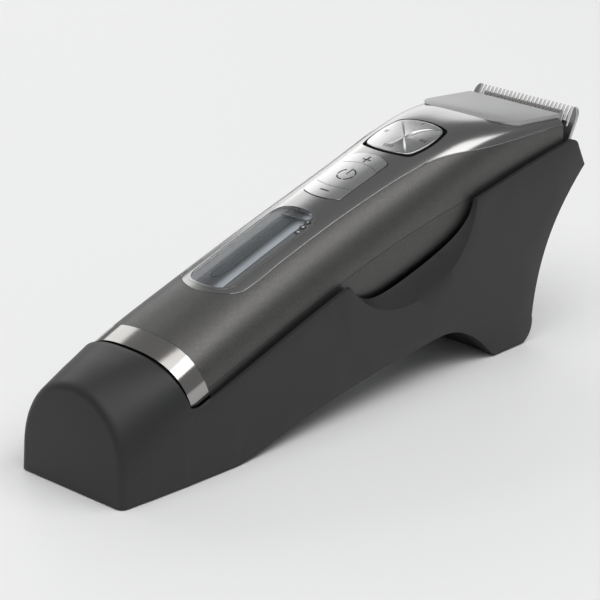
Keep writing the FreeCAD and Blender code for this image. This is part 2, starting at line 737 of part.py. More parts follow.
# bracket that the motor's face screws to
bracket = new_body("bracket")
bracket_face = new_sketch(bracket, "YZ_Plane")
rectangle(bracket_face, -15.0, 15.0, -7.4, 9.0)
pad(bracket, bracket_face, 2.0)
bracket_bore = new_sketch(bracket, "YZ_Plane")
circle(bracket_bore, 0, 0, 3.2)
for side in (-1, 1):
    circle(bracket_bore, side * 6.3, 0, 1.0)
pocket(bracket, bracket_bore, 3.0, backwards=True)
finished(bracket, "motor_bracket",
         CLIPPER * FreeCAD.Placement(Vec(motor_front + 0.05, 0, motor_axis), FreeCAD.Rotation()))

motor_screws = Part.makeCompound(
    [rod(1.7, 0.9, (motor_front + 2.1, side * 6.3, motor_axis), (1, 0, 0)).fuse(
        rod(0.9, 2.0, (motor_front + 0.1, side * 6.3, motor_axis), (1, 0, 0))) for side in (-1, 1)])
solid_piece("motor_screws", motor_screws, CLIPPER)

# motor shaft with its crank disc and pin
crank_start = motor_front + 3.4
shaft = rod(size("shaft_radius"), crank_start - size("motor_start") + 1.5,
            (size("motor_start") - 0.5, 0, motor_axis), (1, 0, 0))
crank = rod(3.4, 3.2, (crank_start, 0, motor_axis), (1, 0, 0))
crank_pin = rod(size("shaft_radius"), 7.0,
                (crank_start + 3.0, 0, motor_axis + size("crank_throw")), (1, 0, 0))
solid_piece("motor_crank", shaft.fuse(crank).fuse(crank_pin), CLIPPER)

# drive lever: fork round the crank pin, pivot eye, ball end in the cutter's fork
pivot = size("lever_pivot")
fork_half = size("crank_throw") * 2 + size("shaft_radius") + 0.2
fork_start = crank_start + 5.2
fork = box((fork_start, -fork_half - 2, motor_axis - 3.6),
           (fork_start + 9, fork_half + 2, motor_axis + 3.6))
fork = fork.cut(box((fork_start - 1, -fork_half, -HIGH), (fork_start + 6, fork_half, HIGH)))
arm = box((fork_start + 8, -2.2, motor_axis - 2), (pivot + 14, 2.2, motor_axis + 2))
eye = rod(5.0, 6.0, (pivot, 0, motor_axis - 3), (0, 0, 1))
tip = Vec(size("lever_tip"), 0, size("lever_tip_height"))
neck_start = Vec(pivot + 13, 0, motor_axis)
neck = rod(1.1, (tip - neck_start).Length, tuple(neck_start), tuple(tip - neck_start))
ball = Part.makeSphere(1.6, tip)
lever = fork.multiFuse([arm, eye, neck, ball])
lever = lever.cut(rod(1.55, 10, (pivot, 0, motor_axis - 5), (0, 0, 1)))
solid_piece("drive_lever", lever, CLIPPER)

# pivot post standing on the lower shell
post_foot = rod(4.5, 3.0, (pivot, 0, motor_axis - 12.5), (0, 0, 1))
post = rod(1.5, 17.0, (pivot, 0, motor_axis - 12.5), (0, 0, 1))
post_shoulder = rod(3.0, 9.0, (pivot, 0, motor_axis - 12.5), (0, 0, 1))
solid_piece("lever_post", post_foot.fuse(post).fuse(post_shoulder), CLIPPER)

# ---------------------------------------------------------------- clipper: blade set

comb = new_body("comb")
comb_plan = new_sketch(comb, "YZ_Plane")
outline(comb_plan, [("blade_half_width * -1 + 1.2", "comb_length * -1"),
                    ("blade_half_width - 1.2", "comb_length * -1"),
                    ("blade_half_width", "comb_length * -1 + 1.2"), ("blade_half_width", -2.8),
                    ("blade_half_width - 0.7", -0.9), ("blade_half_width - 1.7", 0),
                    ("blade_half_width * -1 + 1.7", 0), ("blade_half_width * -1 + 0.7", -0.9),
                    ("blade_half_width * -1", -2.8), ("blade_half_width * -1", "comb_length * -1 + 1.2")])
pad(comb, comb_plan, "comb_thick", backwards=True)
gaps = int(size("comb_teeth")) + 1
first_gap = -size("tooth_pitch") * (gaps - 1) / 2
comb_slot = new_sketch(comb, "YZ_Plane")
rectangle(comb_slot, first_gap - size("tooth_slot") / 2, first_gap + size("tooth_slot") / 2,
          "tooth_length * -1", 2.0)
slot_cut = pocket(comb, comb_slot, 5, midplane=True)
row_of(comb, slot_cut, comb_slot, "H_Axis", "tooth_pitch", gaps)
tip_bevel = new_sketch(comb, "XZ_Plane")
outline(tip_bevel, [(0.5, -4.5), (0.5, 0.5), (-0.75, 0.5), (-0.55, 0), (0, -3.6)])
pocket(comb, tip_bevel, 60, midplane=True)
comb_holes = new_sketch(comb, "YZ_Plane")
BLADE_SCREW_SPREAD = 10.0
BLADE_SCREW_LEVEL = -20.6
for side in (-1, 1):
    circle(comb_holes, side * BLADE_SCREW_SPREAD, BLADE_SCREW_LEVEL, 1.3)
pocket(comb, comb_holes, 5, midplane=True)
finished(comb, "comb_blade", BLADE)

# moving cutter with the fork that the lever's ball drives
cutter_back = size("comb_thick") + size("blade_play")
cutter = new_body("cutter")
cutter_plan = new_sketch(cutter, "YZ_Plane", offset="comb_thick * -1 - blade_play")
rectangle(cutter_plan, "cutter_half_width * -1", "cutter_half_width", -15.0, "cutter_setback * -1")
pad(cutter, cutter_plan, "cutter_thick", backwards=True)
cutter_gaps = int(size("cutter_teeth")) - 1
cutter_slot = new_sketch(cutter, "YZ_Plane")
first_cut = -size("tooth_pitch") * (cutter_gaps - 1) / 2
rectangle(cutter_slot, first_cut - 0.4, first_cut + 0.4, -6.2, 1.0)
cutter_cut = pocket(cutter, cutter_slot, 10, midplane=True)
row_of(cutter, cutter_cut, cutter_slot, "H_Axis", "tooth_pitch", cutter_gaps)
finished(cutter, "cutter_blade", BLADE)

fork_inner = 1.75
fork_deep = cutter_back + size("cutter_thick")
fork_back = fork_deep + 6.2
DRIVER_LOW = -17.6
DRIVER_HIGH = -11.5
DRIVER_WALL = 2.2
driver = box((-fork_back, -fork_inner - DRIVER_WALL, DRIVER_LOW),
             (-fork_deep - 0.02, fork_inner + DRIVER_WALL, DRIVER_HIGH))
driver = driver.cut(box((-fork_back - 1, -fork_inner, DRIVER_LOW - 1),
                        (-fork_deep - 1.5, fork_inner, DRIVER_HIGH + 1)))
solid_piece("cutter_driver", driver, BLADE)

# bridge that presses on the cutter and sets the cutting length
bridge_front = -fork_deep - 0.1
bridge = box((bridge_front - 1.6, -17.9, -17.7), (bridge_front, 17.9, -9.2))
bridge = bridge.cut(box((bridge_front - 3, -6.4, -18.7), (bridge_front + 1, 6.4, -10.6)))
solid_piece("length_bridge", bridge, BLADE)

# holder: black plastic frame behind the comb, with the hinge knuckle at its heel
HOLDER_BACK = -8.0
HOLDER_TOP = -5.5
HEEL_LOW = -24.4
HEEL_HIGH = -19.0
CHEEK_IN = size("cutter_half_width") + size("stroke") + 0.2
CHEEK_OUT = 19.1
holder_front = -size("comb_thick") - 0.02
holder = box((HOLDER_BACK, -CHEEK_OUT, HEEL_LOW), (holder_front, CHEEK_OUT, HOLDER_TOP))
holder = holder.cut(box((HOLDER_BACK - 1, -CHEEK_IN, HEEL_HIGH), (holder_front + 1, CHEEK_IN, 0)))
for side in (-1, 1):
    holder = holder.cut(rod(1.0, 8, (HOLDER_BACK + 1, side * BLADE_SCREW_SPREAD, BLADE_SCREW_LEVEL),
                            (1, 0, 0)))
PIN_RADIUS = 1.0
holder = holder.cut(rod(PIN_RADIUS + 0.06, 60, (HINGE_OUT, -30, HINGE_LEVEL), (0, 1, 0)))
# behind the shells' front edges the holder keeps inside the head
in_head = moved(envelope(-size("shell") - 0.4), BLADE_IN_CLIPPER.inverse())
holder_behind = holder.common(box((-20, -WIDE, -WIDE), (-BLADE_CLEARANCE + 0.1, WIDE, WIDE)))
holder_ahead = holder.common(box((-BLADE_CLEARANCE + 0.1, -WIDE, -WIDE), (5, WIDE, WIDE)))
holder = holder_behind.common(in_head).fuse(holder_ahead)
holder = max(holder.Solids, key=lambda solid: solid.Volume)
solid_piece("blade_holder", holder, BLADE)

blade_screws = Part.makeCompound(
    [rod(1.2, 1.15, (-size("comb_thick") - 0.01, side * BLADE_SCREW_SPREAD, BLADE_SCREW_LEVEL),
         (1, 0, 0)).fuse(
        rod(0.95, 5.5, (-6.6, side * BLADE_SCREW_SPREAD, BLADE_SCREW_LEVEL), (1, 0, 0)))
     for side in (-1, 1)])
solid_piece("blade_screws", blade_screws, BLADE)

# hinge pin of the blade set, held in the lower shell
hinge_pin = rod(PIN_RADIUS, 32.0, (HINGE_OUT, -16.0, HINGE_LEVEL), (0, 1, 0))
solid_piece("blade_hinge_pin", hinge_pin, BLADE)

# spring that pushes the bridge and the cutter towards the comb
spring_legs = [rod(0.5, 9.6, (bridge_front - 2.3, side * 12.0, HEEL_HIGH + 0.05), (0, 0, 1))
               for side in (-1, 1)]
spring_bar = rod(0.5, 24.0, (bridge_front - 2.3, -12.0, -9.4), (0, 1, 0))
solid_piece("blade_spring", spring_legs[0].fuse(spring_legs[1]).fuse(spring_bar), BLADE)

# front bulkhead of the head, with a window for the lever
head_room = envelope(-size("shell") - 0.25)
bulkhead = moved(box((-10.6, -WIDE, -40), (-8.6, WIDE, 4)), BLADE_IN_CLIPPER).common(head_room)
bulkhead = bulkhead.cut(moved(box((-20, -7, -19.5), (0, 7, -9.0)), BLADE_IN_CLIPPER))
bulkhead = bulkhead.cut(plate_room)
solid_piece("head_bulkhead", bulkhead, CLIPPER)

# ---------------------------------------------------------------- stand: housing

# place along the stand, half width, spring line, crown, roundness
STAND_STATIONS = [
    (0.0, size("nose_half_width"), 8.7, size("nose_height"), 2.05),
    (12.0, 22.9, 12.0, 35.8, 2.3),
    (25.0, 23.6, 17.6, 38.5, 2.7),
    (45.0, size("stand_half_width"), 25.0, 47.0, 2.6),
    (90.0, size("stand_half_width") + 0.2, 47.0, 66.0, 2.6),
    (215.0, size("stand_half_width") - 0.1, 78.0, 97.0, 2.6),
]


# the low end face leans back; the lean fades out along the nose
NOSE_LEAN = 0.077
LEAN_LENGTH = 25.0


def stand_section(station, inset):
    """Arched section of the stand: straight sides, rounded crown."""
    place, half, spring, crown, power = station
    lean = NOSE_LEAN * max(0.0, 1 - place / LEAN_LENGTH)
    half -= inset
    crown -= inset
    arch = []
    for index in range(17):
        angle = math.pi * index / 16
        across = math.copysign(abs(math.cos(angle)) ** (2 / power), math.cos(angle))
        level = spring + (crown - spring) * math.sin(angle) ** (2 / power)
        arch.append((place + lean * level, half * across, level))
    low = -5.0
    left = (place + lean * low, half, low)
    right = (place + lean * low, -half, low)
    return Part.Wire([line(left, arch[0]), curve(arch), line(arch[-1], right), line(right, left)])


def stand_block(inset):
    return Part.makeLoft([stand_section(station, inset) for station in STAND_STATIONS], True, True)


UNDERSIDE = [(45, 0), (53.1, 1.3), (69.8, 5.4), (85.1, 8.3), (102.3, 11.0), (118, 12.9), (134.9, 14.4),
             (142.5, 14.3), (149, 12.2), (156, 7.9), (162, 2.4), (164.5, 0)]
RIM = [(33.1, 24.0), (60.0, 32.7), (93.5, 43.2), (125, 50.9), (153, 56.9), (176, 61.3), (201.5, 65.3)]
BACK = [(183.7, 9.0), (185.4, 18.5), (188.7, 28.5), (194.0, 38.4), (201.0, 47.3), (209.4, 55.5)]


def raised(points, lift):
    return [(px, 0, pz + lift) for px, pz in points]


def stand_side():
    """Side profile of the stand: nose, socket lip, rim, tall end, back and underside."""
    low = size("skirt_height")
    lip = Vec(33.0 * cos_tilt - 29.4 * sin_tilt, 0, 33.0 * sin_tilt + 29.4 * cos_tilt)
    down = Vec(sin_tilt, 0, -cos_tilt)
    groove = lip + down * 14.2
    edges = [curve(raised(UNDERSIDE, low))]
    edges += chain([(164.5, 0, low), (179.5, 0, low)])
    edges.append(Part.Arc(Vec(179.5, 0, low), Vec(182.7, 0, low + 2.6), Vec(183.7, 0, 9.0)).toShape())
    edges.append(curve(raised(BACK, 0)))
    edges += chain([(209.4, 0, 55.5), (205.9, 0, 62.6)])
    edges.append(Part.Arc(Vec(205.9, 0, 62.6), Vec(204.4, 0, 64.8), Vec(201.5, 0, 65.3)).toShape())
    edges.append(curve(raised(list(reversed(RIM)), 0)))
    bottom = Vec(30.2, 0, 23.4)
    edges.append(Part.Arc(Vec(33.1, 0, 24.0), bottom, groove).toShape())
    above = lip - down * 20
    edges += chain([tuple(groove), tuple(above), (-5, 0, above.z), (-5, 0, low), (45, 0, low)])
    return slab(edges, WIDE)


def pocket_block(grow):
    """Space the clipper lies in: open above, rounded below, as one solid in the clipper frame."""
    stations = [(24.6 - grow, 22.4, 13.0, -4.0), (60.0, 22.6, 13.0, -6.1), (110.0, 22.8, 12.0, -8.6),
                (160.0, 22.8, 10.0, -9.9), (190.0, 22.8, 9.0, -10.4), (235.0, 22.8, 6.0, -11.0)]
    wires = []
    for along, half, middle, low in stations:
        half += grow
        low -= grow
        bowl = []
        for index in range(17):
            angle = math.pi * index / 16
            across = math.copysign(abs(math.cos(angle)) ** 0.8, math.cos(angle))
            bowl.append((along, half * across, middle - (middle - low) * math.sin(angle) ** 0.8))
        wires.append(Part.Wire([line((along, half, HIGH), bowl[0]), curve(bowl),
                                line(bowl[-1], (along, -half, HIGH)),
                                line((along, -half, HIGH), (along, half, HIGH))]))
    return Part.makeLoft(wires, True, True)


NOSE_ROUND = 2.3


def nose_stations():
    """Sections of the quarter round between the low end face and the sides, with the inset of each."""
    first = STAND_STATIONS[0]
    second = STAND_STATIONS[1]
    rounded = []
    for index in range(7):
        angle = math.pi / 2 * index / 6
        place = NOSE_ROUND * (1 - math.cos(angle))
        share = place / second[0]
        station = [place] + [low + share * (high - low) for low, high in zip(first[1:], second[1:])]
        rounded.append((station, NOSE_ROUND * (1 - math.sin(angle))))
    return rounded


stand_wires = [stand_section(station, inset) for station, inset in nose_stations()]
stand_wires += [stand_section(station, 0) for station in STAND_STATIONS[1:]]
stand_outer = Part.makeLoft(stand_wires, True, True).common(stand_side())

clipper_bed = moved(pocket_block(0), TILT)
socket_start = 33.0
# inside the socket the bed closes over the tail cap
tail_bore = envelope(-size("tail_step") + 0.45).common(
    box((24.6, -WIDE, -HIGH), (size("ring_start") + 1, WIDE, HIGH)))
bed_open = clipper_bed.common(moved(box((socket_start, -WIDE, -HIGH), (300, WIDE, HIGH)), TILT))
shell_room = envelope(0.35).common(box((socket_start, -WIDE, -HIGH), (240, WIDE, HIGH)))
housing = stand_outer.cut(bed_open).cut(moved(tail_bore, TILT)).cut(moved(shell_room, TILT))

SCOOP_OUT = [(93.0, 45.0), (98.5, 38.1), (107.0, 31.9), (122.0, 28.5), (136.0, 31.0), (147.5, 39.2),
             (152.5, 48.0), (154.0, 60.0)]
SCOOP_IN = [(93.6, 45.0), (99.0, 40.9), (106.0, 38.4), (117.0, 38.2), (130.0, 41.2), (141.0, 46.0),
            (149.0, 52.3), (154.0, 60.0)]


def scoop(side):
    """Finger scoop through one side wall, wide outside and shallow inside."""
    wires = []
    for across, points in ((25.2, SCOOP_OUT), (19.4, SCOOP_IN)):
        spots = [(px, side * across, pz) for px, pz in points]
        wires.append(Part.Wire([curve(spots), line(spots[-1], (150, side * across, 75)),
                                line((150, side * across, 75), (96, side * across, 70)),
                                line((96, side * across, 70), spots[0])]))
    return Part.makeLoft(wires, True, True)


housing = housing.cut(scoop(-1)).cut(scoop(1))

# hollow under the bed, closed below by the base cover
wall = size("wall")
hollow_side = slab(chain([(wall + 0.2, 0, -3), (wall + 0.2, 0, 90), (201.0, 0, 90), (201.0, 0, 50.5),
                          (193.0, 0, 41.0), (186.5, 0, 30.0), (183.0, 0, 18.5), (181.2, 0, 9.0),
                          (180.4, 0, -3), (wall + 0.2, 0, -3)]), size("nose_half_width") - wall)
bed_wall = size("bed_wall")
bed_shelf = pocket_block(bed_wall).common(box((socket_start - bed_wall, -WIDE, -HIGH), (300, WIDE, HIGH)))
socket_shelf = envelope(-size("tail_step") + 0.45 + wall).common(
    box((24.6 - wall, -WIDE, -HIGH), (socket_start, WIDE, HIGH)))
shelf = moved(bed_shelf.fuse(socket_shelf), TILT)
hollow = stand_block(wall).common(hollow_side).cut(shelf)
COVER_SCREWS = [(10.0, -11.0), (10.0, 11.0), (170.0, -8.6), (170.0, 8.6)]
BOSS_RADIUS = 2.6
SCREW_LENGTH = 6.0
cover_top = size("skirt_height") + size("cover_recess") + size("cover_thick")
for px, py in COVER_SCREWS:
    boss = rod(BOSS_RADIUS, HIGH, (px, py, cover_top + 0.05), (0, 0, 1))
    hollow = hollow.cut(boss.cut(rod(1.25, SCREW_LENGTH, (px, py, cover_top), (0, 0, 1))))
housing = housing.cut(max(hollow.Solids, key=lambda solid: solid.Volume))

# notch in the back wall, so that the blade hangs free
notch = box((196.0, -size("blade_half_width") - 0.5, 49.6), (215.0, size("blade_half_width") + 0.5, 90.0))
holder_room = moved(moved(box((-8.6, -19.6, -25.0), (0.4, 19.6, -5.0)), BLADE_IN_CLIPPER), TILT)
housing = housing.cut(notch).cut(holder_room).cut(moved(heel_room, TILT))

# supply inlet's window in the back wall
inlet_level = size("inlet_height")
housing = housing.cut(rod(3.4, 30.0, (178.0, 0, inlet_level), (1, 0, 0)))

# contact block's window in the socket floor
block_room = moved(box((13.8, -9.6, 4.4), (24.7, 9.6, 13.6)), TILT)
housing = housing.cut(block_room)
housing = max(housing.Solids, key=lambda solid: solid.Volume)
solid_piece("stand_housing", housing, STAND)

# ---------------------------------------------------------------- stand: base cover and what it holds

COVER_FIRST = 3.0
COVER_LAST = 179.8
cover_low = size("skirt_height") + size("cover_recess")
cover_high = cover_low + size("cover_thick")
cover_edges = chain([(COVER_FIRST, 0, cover_high), (COVER_FIRST, 0, cover_low), (45, 0, cover_low)])
cover_edges.append(curve(raised(UNDERSIDE, cover_low)))
cover_edges += chain([(164.5, 0, cover_low), (COVER_LAST, 0, cover_low), (COVER_LAST, 0, cover_high),
                      (165.4, 0, cover_high)])
upper_line = [(45, cover_high), (53.1, 1.3 + cover_high), (69.8, 5.4 + cover_high),
              (85.1, 8.3 + cover_high), (102.3, 11.0 + cover_high), (118, 12.9 + cover_high),
              (134.9, 14.5 + cover_high), (143.3, 14.4 + cover_high), (150.3, 12.0 + cover_high),
              (157.4, 7.6 + cover_high), (165.4, cover_high)]
cover_edges.append(curve([(px, 0, pz) for px, pz in upper_line]))
cover_edges += chain([(45, 0, cover_high), (COVER_FIRST, 0, cover_high)])
cover = slab(cover_edges, size("nose_half_width") - wall - 0.15)
FEET = [(36.0, -14.5), (36.0, 14.5), (172.0, -15.5), (172.0, 15.5)]
for px, py in FEET:
    cover = cover.cut(rod(size("foot_radius") + 0.1, size("foot_thick"), (px, py, 0), (0, 0, 1)))
for px, py in COVER_SCREWS:
    cover = cover.cut(rod(2.5, 1.75, (px, py, 0), (0, 0, 1)).fuse(rod(1.4, 6, (px, py, 0), (0, 0, 1))))
cover = max(cover.Solids, key=lambda solid: solid.Volume)
solid_piece("base_cover", cover, STAND)

foot_discs = []
for px, py in FEET:
    foot = doc.addObject("Part::Cylinder", "Foot")
    bind(foot, "Radius", "foot_radius")
    bind(foot, "Height", "foot_thick")
    foot.Placement = FreeCAD.Placement(Vec(px, py, 0), FreeCAD.Rotation())
    foot_discs.append(foot)
feet = doc.addObject("Part::Compound", "rubber_feet")
feet.Links = foot_discs
finished(feet, "rubber_feet", STAND)

base_screws = Part.makeCompound(
    [rod(2.3, 0.8, (px, py, cover_low), (0, 0, 1)).fuse(
        rod(1.2, SCREW_LENGTH, (px, py, cover_low), (0, 0, 1))) for px, py in COVER_SCREWS])
solid_piece("base_screws", base_screws, STAND)

# contact block in the socket floor, bored for the two sprung pins
block = box((14.0, -9.4, 4.6), (24.5, 9.4, 13.4))
for side in (-1, 1):
    block = block.cut(rod(size("charge_pin_radius") + 0.06, 30,
                          (0, side * size("pin_spread"), size("contact_height")), (1, 0, 0)))
solid_piece("contact_block", block, CLIPPER)

for label, side in (("charge_pin_left", 1), ("charge_pin_right", -1)):
    charge_pin = new_body(label)
    pin_profile = new_sketch(charge_pin, "XZ_Plane")
    outline(pin_profile, [(0, 0), (0, 1.9), (0.8, 1.9), (0.8, "charge_pin_radius"),
                          (11.0, "charge_pin_radius"), (11.6, 0.6), (11.6, 0)])
    along_x(charge_pin, pin_profile)
    spot = Vec(13.1, side * size("pin_spread"), size("contact_height"))
    finished(charge_pin, label, CLIPPER * FreeCAD.Placement(spot, FreeCAD.Rotation()))

# stand board behind the contact block
stand_board = new_body("stand_board")
stand_board_face = new_sketch(stand_board, "YZ_Plane")
rectangle(stand_board_face, -13.0, 13.0, 5.0, 21.0)
pad(stand_board, stand_board_face, "board_thick")
finished(stand_board, "stand_board", STAND * FreeCAD.Placement(Vec(4.6, 0, 0), FreeCAD.Rotation()))

# supply inlet in the back wall
jack = new_body("jack")
jack_face = new_sketch(jack, "YZ_Plane")
circle(jack_face, 0, 0, 3.2)
pad(jack, jack_face, 14.0, backwards=True)
jack_bore = new_sketch(jack, "YZ_Plane")
circle(jack_bore, 0, 0, "inlet_radius")
pocket(jack, jack_bore, "inlet_depth")
finished(jack, "supply_inlet",
         STAND * FreeCAD.Placement(Vec(183.6, 0, inlet_level), FreeCAD.Rotation()))

# steel ballast in the tall foot
ballast = doc.addObject("Part::Box", "Ballast")
ballast.Length = 9.0
ballast.Width = 34.0
ballast.Height = 15.0
finished(ballast, "ballast_block", STAND * FreeCAD.Placement(Vec(173.2, -17, 20.0), FreeCAD.Rotation()))

# ---------------------------------------------------------------- check and export

doc.recompute()
for thing in doc.Objects:
    if "Invalid" in thing.State or "Error" in thing.State:
        raise RuntimeError("%s is %s" % (thing.Label, thing.State))
labels = [piece.Label for piece in pieces]
if len(set(labels)) != len(labels):
    raise RuntimeError("two sub-parts share a name")
for piece in pieces:
    if piece.Shape.isNull() or not piece.Shape.isValid():
        raise RuntimeError("%s has no valid shape" % piece.Label)
    print("%-18s solids %d  volume %.1f" % (piece.Label, len(piece.Shape.Solids), piece.Shape.Volume))
for piece in pieces:
    piece.Shape.exportStep("parts/%s.step" % piece.Label)
print("pieces:", len(pieces))
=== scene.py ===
import json
import math

import bmesh
import bpy
from bpy.props import FloatProperty, FloatVectorProperty, IntProperty, PointerProperty
from mathutils import Matrix, Vector
from mathutils.bvhtree import BVHTree


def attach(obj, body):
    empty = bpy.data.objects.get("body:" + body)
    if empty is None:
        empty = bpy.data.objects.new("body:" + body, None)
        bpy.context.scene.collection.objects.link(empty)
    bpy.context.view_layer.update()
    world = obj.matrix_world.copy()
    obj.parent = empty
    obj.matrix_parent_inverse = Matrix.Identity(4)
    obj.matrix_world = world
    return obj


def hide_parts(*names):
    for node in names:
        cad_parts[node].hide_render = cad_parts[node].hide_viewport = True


bl_info = {
    "name": "Hair Clipper Looks",
    "version": (1, 0, 0),
    "blender": (4, 5, 0),
    "location": "3D View > Sidebar > Clipper",
    "description": "Finishes and fine pieces of a cordless hair clipper seated in its charging stand",
    "category": "Object",
}

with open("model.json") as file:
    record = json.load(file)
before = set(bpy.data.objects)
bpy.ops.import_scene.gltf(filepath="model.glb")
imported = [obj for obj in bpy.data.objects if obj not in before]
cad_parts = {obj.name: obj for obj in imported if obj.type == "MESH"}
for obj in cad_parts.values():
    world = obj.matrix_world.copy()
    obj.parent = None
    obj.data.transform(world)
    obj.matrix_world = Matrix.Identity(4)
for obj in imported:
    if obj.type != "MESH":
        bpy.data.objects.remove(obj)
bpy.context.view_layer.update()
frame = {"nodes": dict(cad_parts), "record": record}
NODES = frame["nodes"]
BODY_OF = {node: body for body, nodes in frame["record"]["behaviour"]["bodies"].items() for node in nodes}
SLOT_OF = {part["node"]: part["material_slot"] for part in frame["record"]["subparts"]}

# ---------------------------------------------------------------- frames (millimetres to metres)

MM = 0.001
HALF_LENGTH = 104.7
TILT = math.radians(17.0)
BLADE_ANGLE = math.radians(45.0)
STAND = Matrix.Translation((-HALF_LENGTH * MM, 0, 0)) @ Matrix.Scale(MM, 4)
CLIPPER = STAND @ Matrix.Rotation(-TILT, 4, "Y")
BLADE = CLIPPER @ Matrix.Translation((221.9, 0, 9.85)) @ Matrix.Rotation(BLADE_ANGLE, 4, "Y")

# ---------------------------------------------------------------- clipper's outer surface

# along, half width, widest height, top, bottom, roundness above, roundness below
STATIONS = [
    (24.0, 21.0, 12.5, 27.6, -2.2, 2.6, 2.5), (34.4, 21.6, 12.5, 29.2, -3.4, 2.6, 2.5),
    (60.0, 21.4, 13.0, 30.7, -5.4, 2.5, 2.5), (90.0, 21.2, 13.0, 31.3, -7.2, 2.4, 2.5),
    (120.0, 21.1, 12.5, 30.9, -8.2, 2.4, 2.5), (140.0, 21.2, 11.8, 30.2, -8.8, 2.5, 2.5),
    (160.0, 21.3, 11.2, 29.0, -9.1, 2.8, 2.6), (174.0, 21.4, 11.0, 27.0, -9.3, 3.3, 2.8),
    (187.3, 21.5, 10.5, 22.9, -9.4, 4.2, 3.0), (200.0, 21.6, 8.4, 17.3, -9.5, 5.2, 3.2),
    (216.0, 21.7, 4.0, 10.5, -9.6, 5.8, 3.4),
]


def between(table, place, column):
    """Smooth value of one column of a table at a place along it."""
    last = len(table) - 2
    spot = next((i for i in range(last + 1) if place <= table[i + 1][0]), last)
    rows = [table[max(0, min(last + 1, spot + step))] for step in (-1, 0, 1, 2)]
    span = rows[2][0] - rows[1][0]
    share = (place - rows[1][0]) / span
    slopes = []
    for before, here, after in (rows[:3], rows[1:]):
        width = after[0] - before[0]
        slopes.append((after[column] - before[column]) / width * span if width else 0.0)
    low, high = rows[1][column], rows[2][column]
    square, cube = share * share, share ** 3
    return ((2 * cube - 3 * square + 1) * low + (cube - 2 * square + share) * slopes[0]
            + (3 * square - 2 * cube) * high + (cube - square) * slopes[1])


def station(along):
    return [between(STATIONS, along, column) for column in range(1, 7)]


def crown(along, across, proud=0.0):
    """Clipper-frame point of the upper surface over a plan place, raised by proud."""
    half, middle, top, _, power, _ = station(along)
    share = min(0.999, abs(across) / (half + proud))
    return Vector((along, across, middle + (top + proud - middle) * (1 - share ** power) ** (1 / power)))


def skin_value(spot):
    """Zero on the clipper's surface, positive outside it."""
    half, middle, top, bottom, upper, lower = station(spot.x)
    power, reach = (upper, top - middle) if spot.z > middle else (lower, middle - bottom)
    return (abs(spot.y) / half) ** power + (abs(spot.z - middle) / reach) ** power - 1


def skin_normal(spot):
    """Direction out of the clipper's surface at a clipper-frame point, and how far off it that is."""
    step = 0.02
    slope = Vector([(skin_value(spot + axis * step) - skin_value(spot - axis * step)) / (2 * step)
                    for axis in (Vector((1, 0, 0)), Vector((0, 1, 0)), Vector((0, 0, 1)))])
    return slope.normalized(), skin_value(spot) / max(slope.length, 1e-6)


# ---------------------------------------------------------------- shader wires


class Wire:
    """A node's output that sums and products can be written with."""

    def __init__(self, finish, socket):
        self.finish = finish
        self.socket = socket

    def combine(self, operation, first, second):
        return self.finish.node("ShaderNodeMath", {"operation": operation}, {0: first, 1: second})

    def __add__(self, other):
        return self.combine("ADD", self, other)

    def __radd__(self, other):
        return self.combine("ADD", other, self)

    def __sub__(self, other):
        return self.combine("SUBTRACT", self, other)

    def __rsub__(self, other):
        return self.combine("SUBTRACT", other, self)

    def __mul__(self, other):
        return self.combine("MULTIPLY", self, other)

    def __rmul__(self, other):
        return self.combine("MULTIPLY", other, self)

    def __pow__(self, other):
        return self.combine("POWER", self, other)


class Finish:
    """One procedural material built round a Principled shader."""

    def __init__(self, name):
        self.material = bpy.data.materials.new(name)
        self.material.use_nodes = True
        self.tree = self.material.node_tree
        self.tree.nodes.clear()
        self.place = self.node("ShaderNodeTexCoord", out="Object")

    def node(self, kind, settings=None, inputs=None, out=0):
        made = self.tree.nodes.new(kind)
        for name, value in (settings or {}).items():
            if name == "stops":
                ramp = made.color_ramp
                while len(ramp.elements) < len(value):
                    ramp.elements.new(0.5)
                for element, (position, shade) in zip(ramp.elements, value):
                    element.position = position
                    element.color = (shade, shade, shade, 1) if isinstance(shade, float) else shade
            else:
                setattr(made, name, value)
        for name, value in (inputs or {}).items():
            if isinstance(value, Wire):
                self.tree.links.new(value.socket, made.inputs[name])
            else:
                made.inputs[name].default_value = value
        return Wire(self, made.outputs[out])

    def turned(self, scale=(1, 1, 1), rotation=(0, 0, 0)):
        """Object coordinates stretched or turned."""
        return self.node("ShaderNodeMapping", None,
                         {"Vector": self.place, "Scale": scale, "Rotation": rotation})

    def noise(self, scale, detail=2.0, roughness=0.5, vector=None):
        return self.node("ShaderNodeTexNoise", {"noise_dimensions": "3D"},
                         {"Vector": vector or self.place, "Scale": scale, "Detail": detail,
                          "Roughness": roughness}, out=0)

    def cells(self, scale, vector=None):
        """A different number in each small cell."""
        colour = self.node("ShaderNodeTexVoronoi", {"voronoi_dimensions": "3D", "feature": "F1"},
                           {"Vector": vector or self.place, "Scale": scale}, out="Color")
        return self.node("ShaderNodeSeparateColor", None, {0: colour})

    def ramp(self, value, *stops):
        return self.node("ShaderNodeValToRGB", {"stops": stops}, {0: value})

    def blend(self, share, first, second):
        return self.node("ShaderNodeMix", {"data_type": "RGBA"}, {0: share, 6: first, 7: second}, out=2)

    def bump(self, height, strength, distance):
        return self.node("ShaderNodeBump", None,
                         {"Height": height, "Strength": strength, "Distance": distance})

    def done(self, **inputs):
        named = {name.replace("_", " "): value for name, value in inputs.items()}
        shader = self.node("ShaderNodeBsdfPrincipled", None, named)
        output = self.tree.nodes.new("ShaderNodeOutputMaterial")
        self.tree.links.new(shader.socket, output.inputs["Surface"])
        return self.material


def grey(value, warm=0.0):
    return (value * (1 + warm), value, value * (1 - warm), 1)


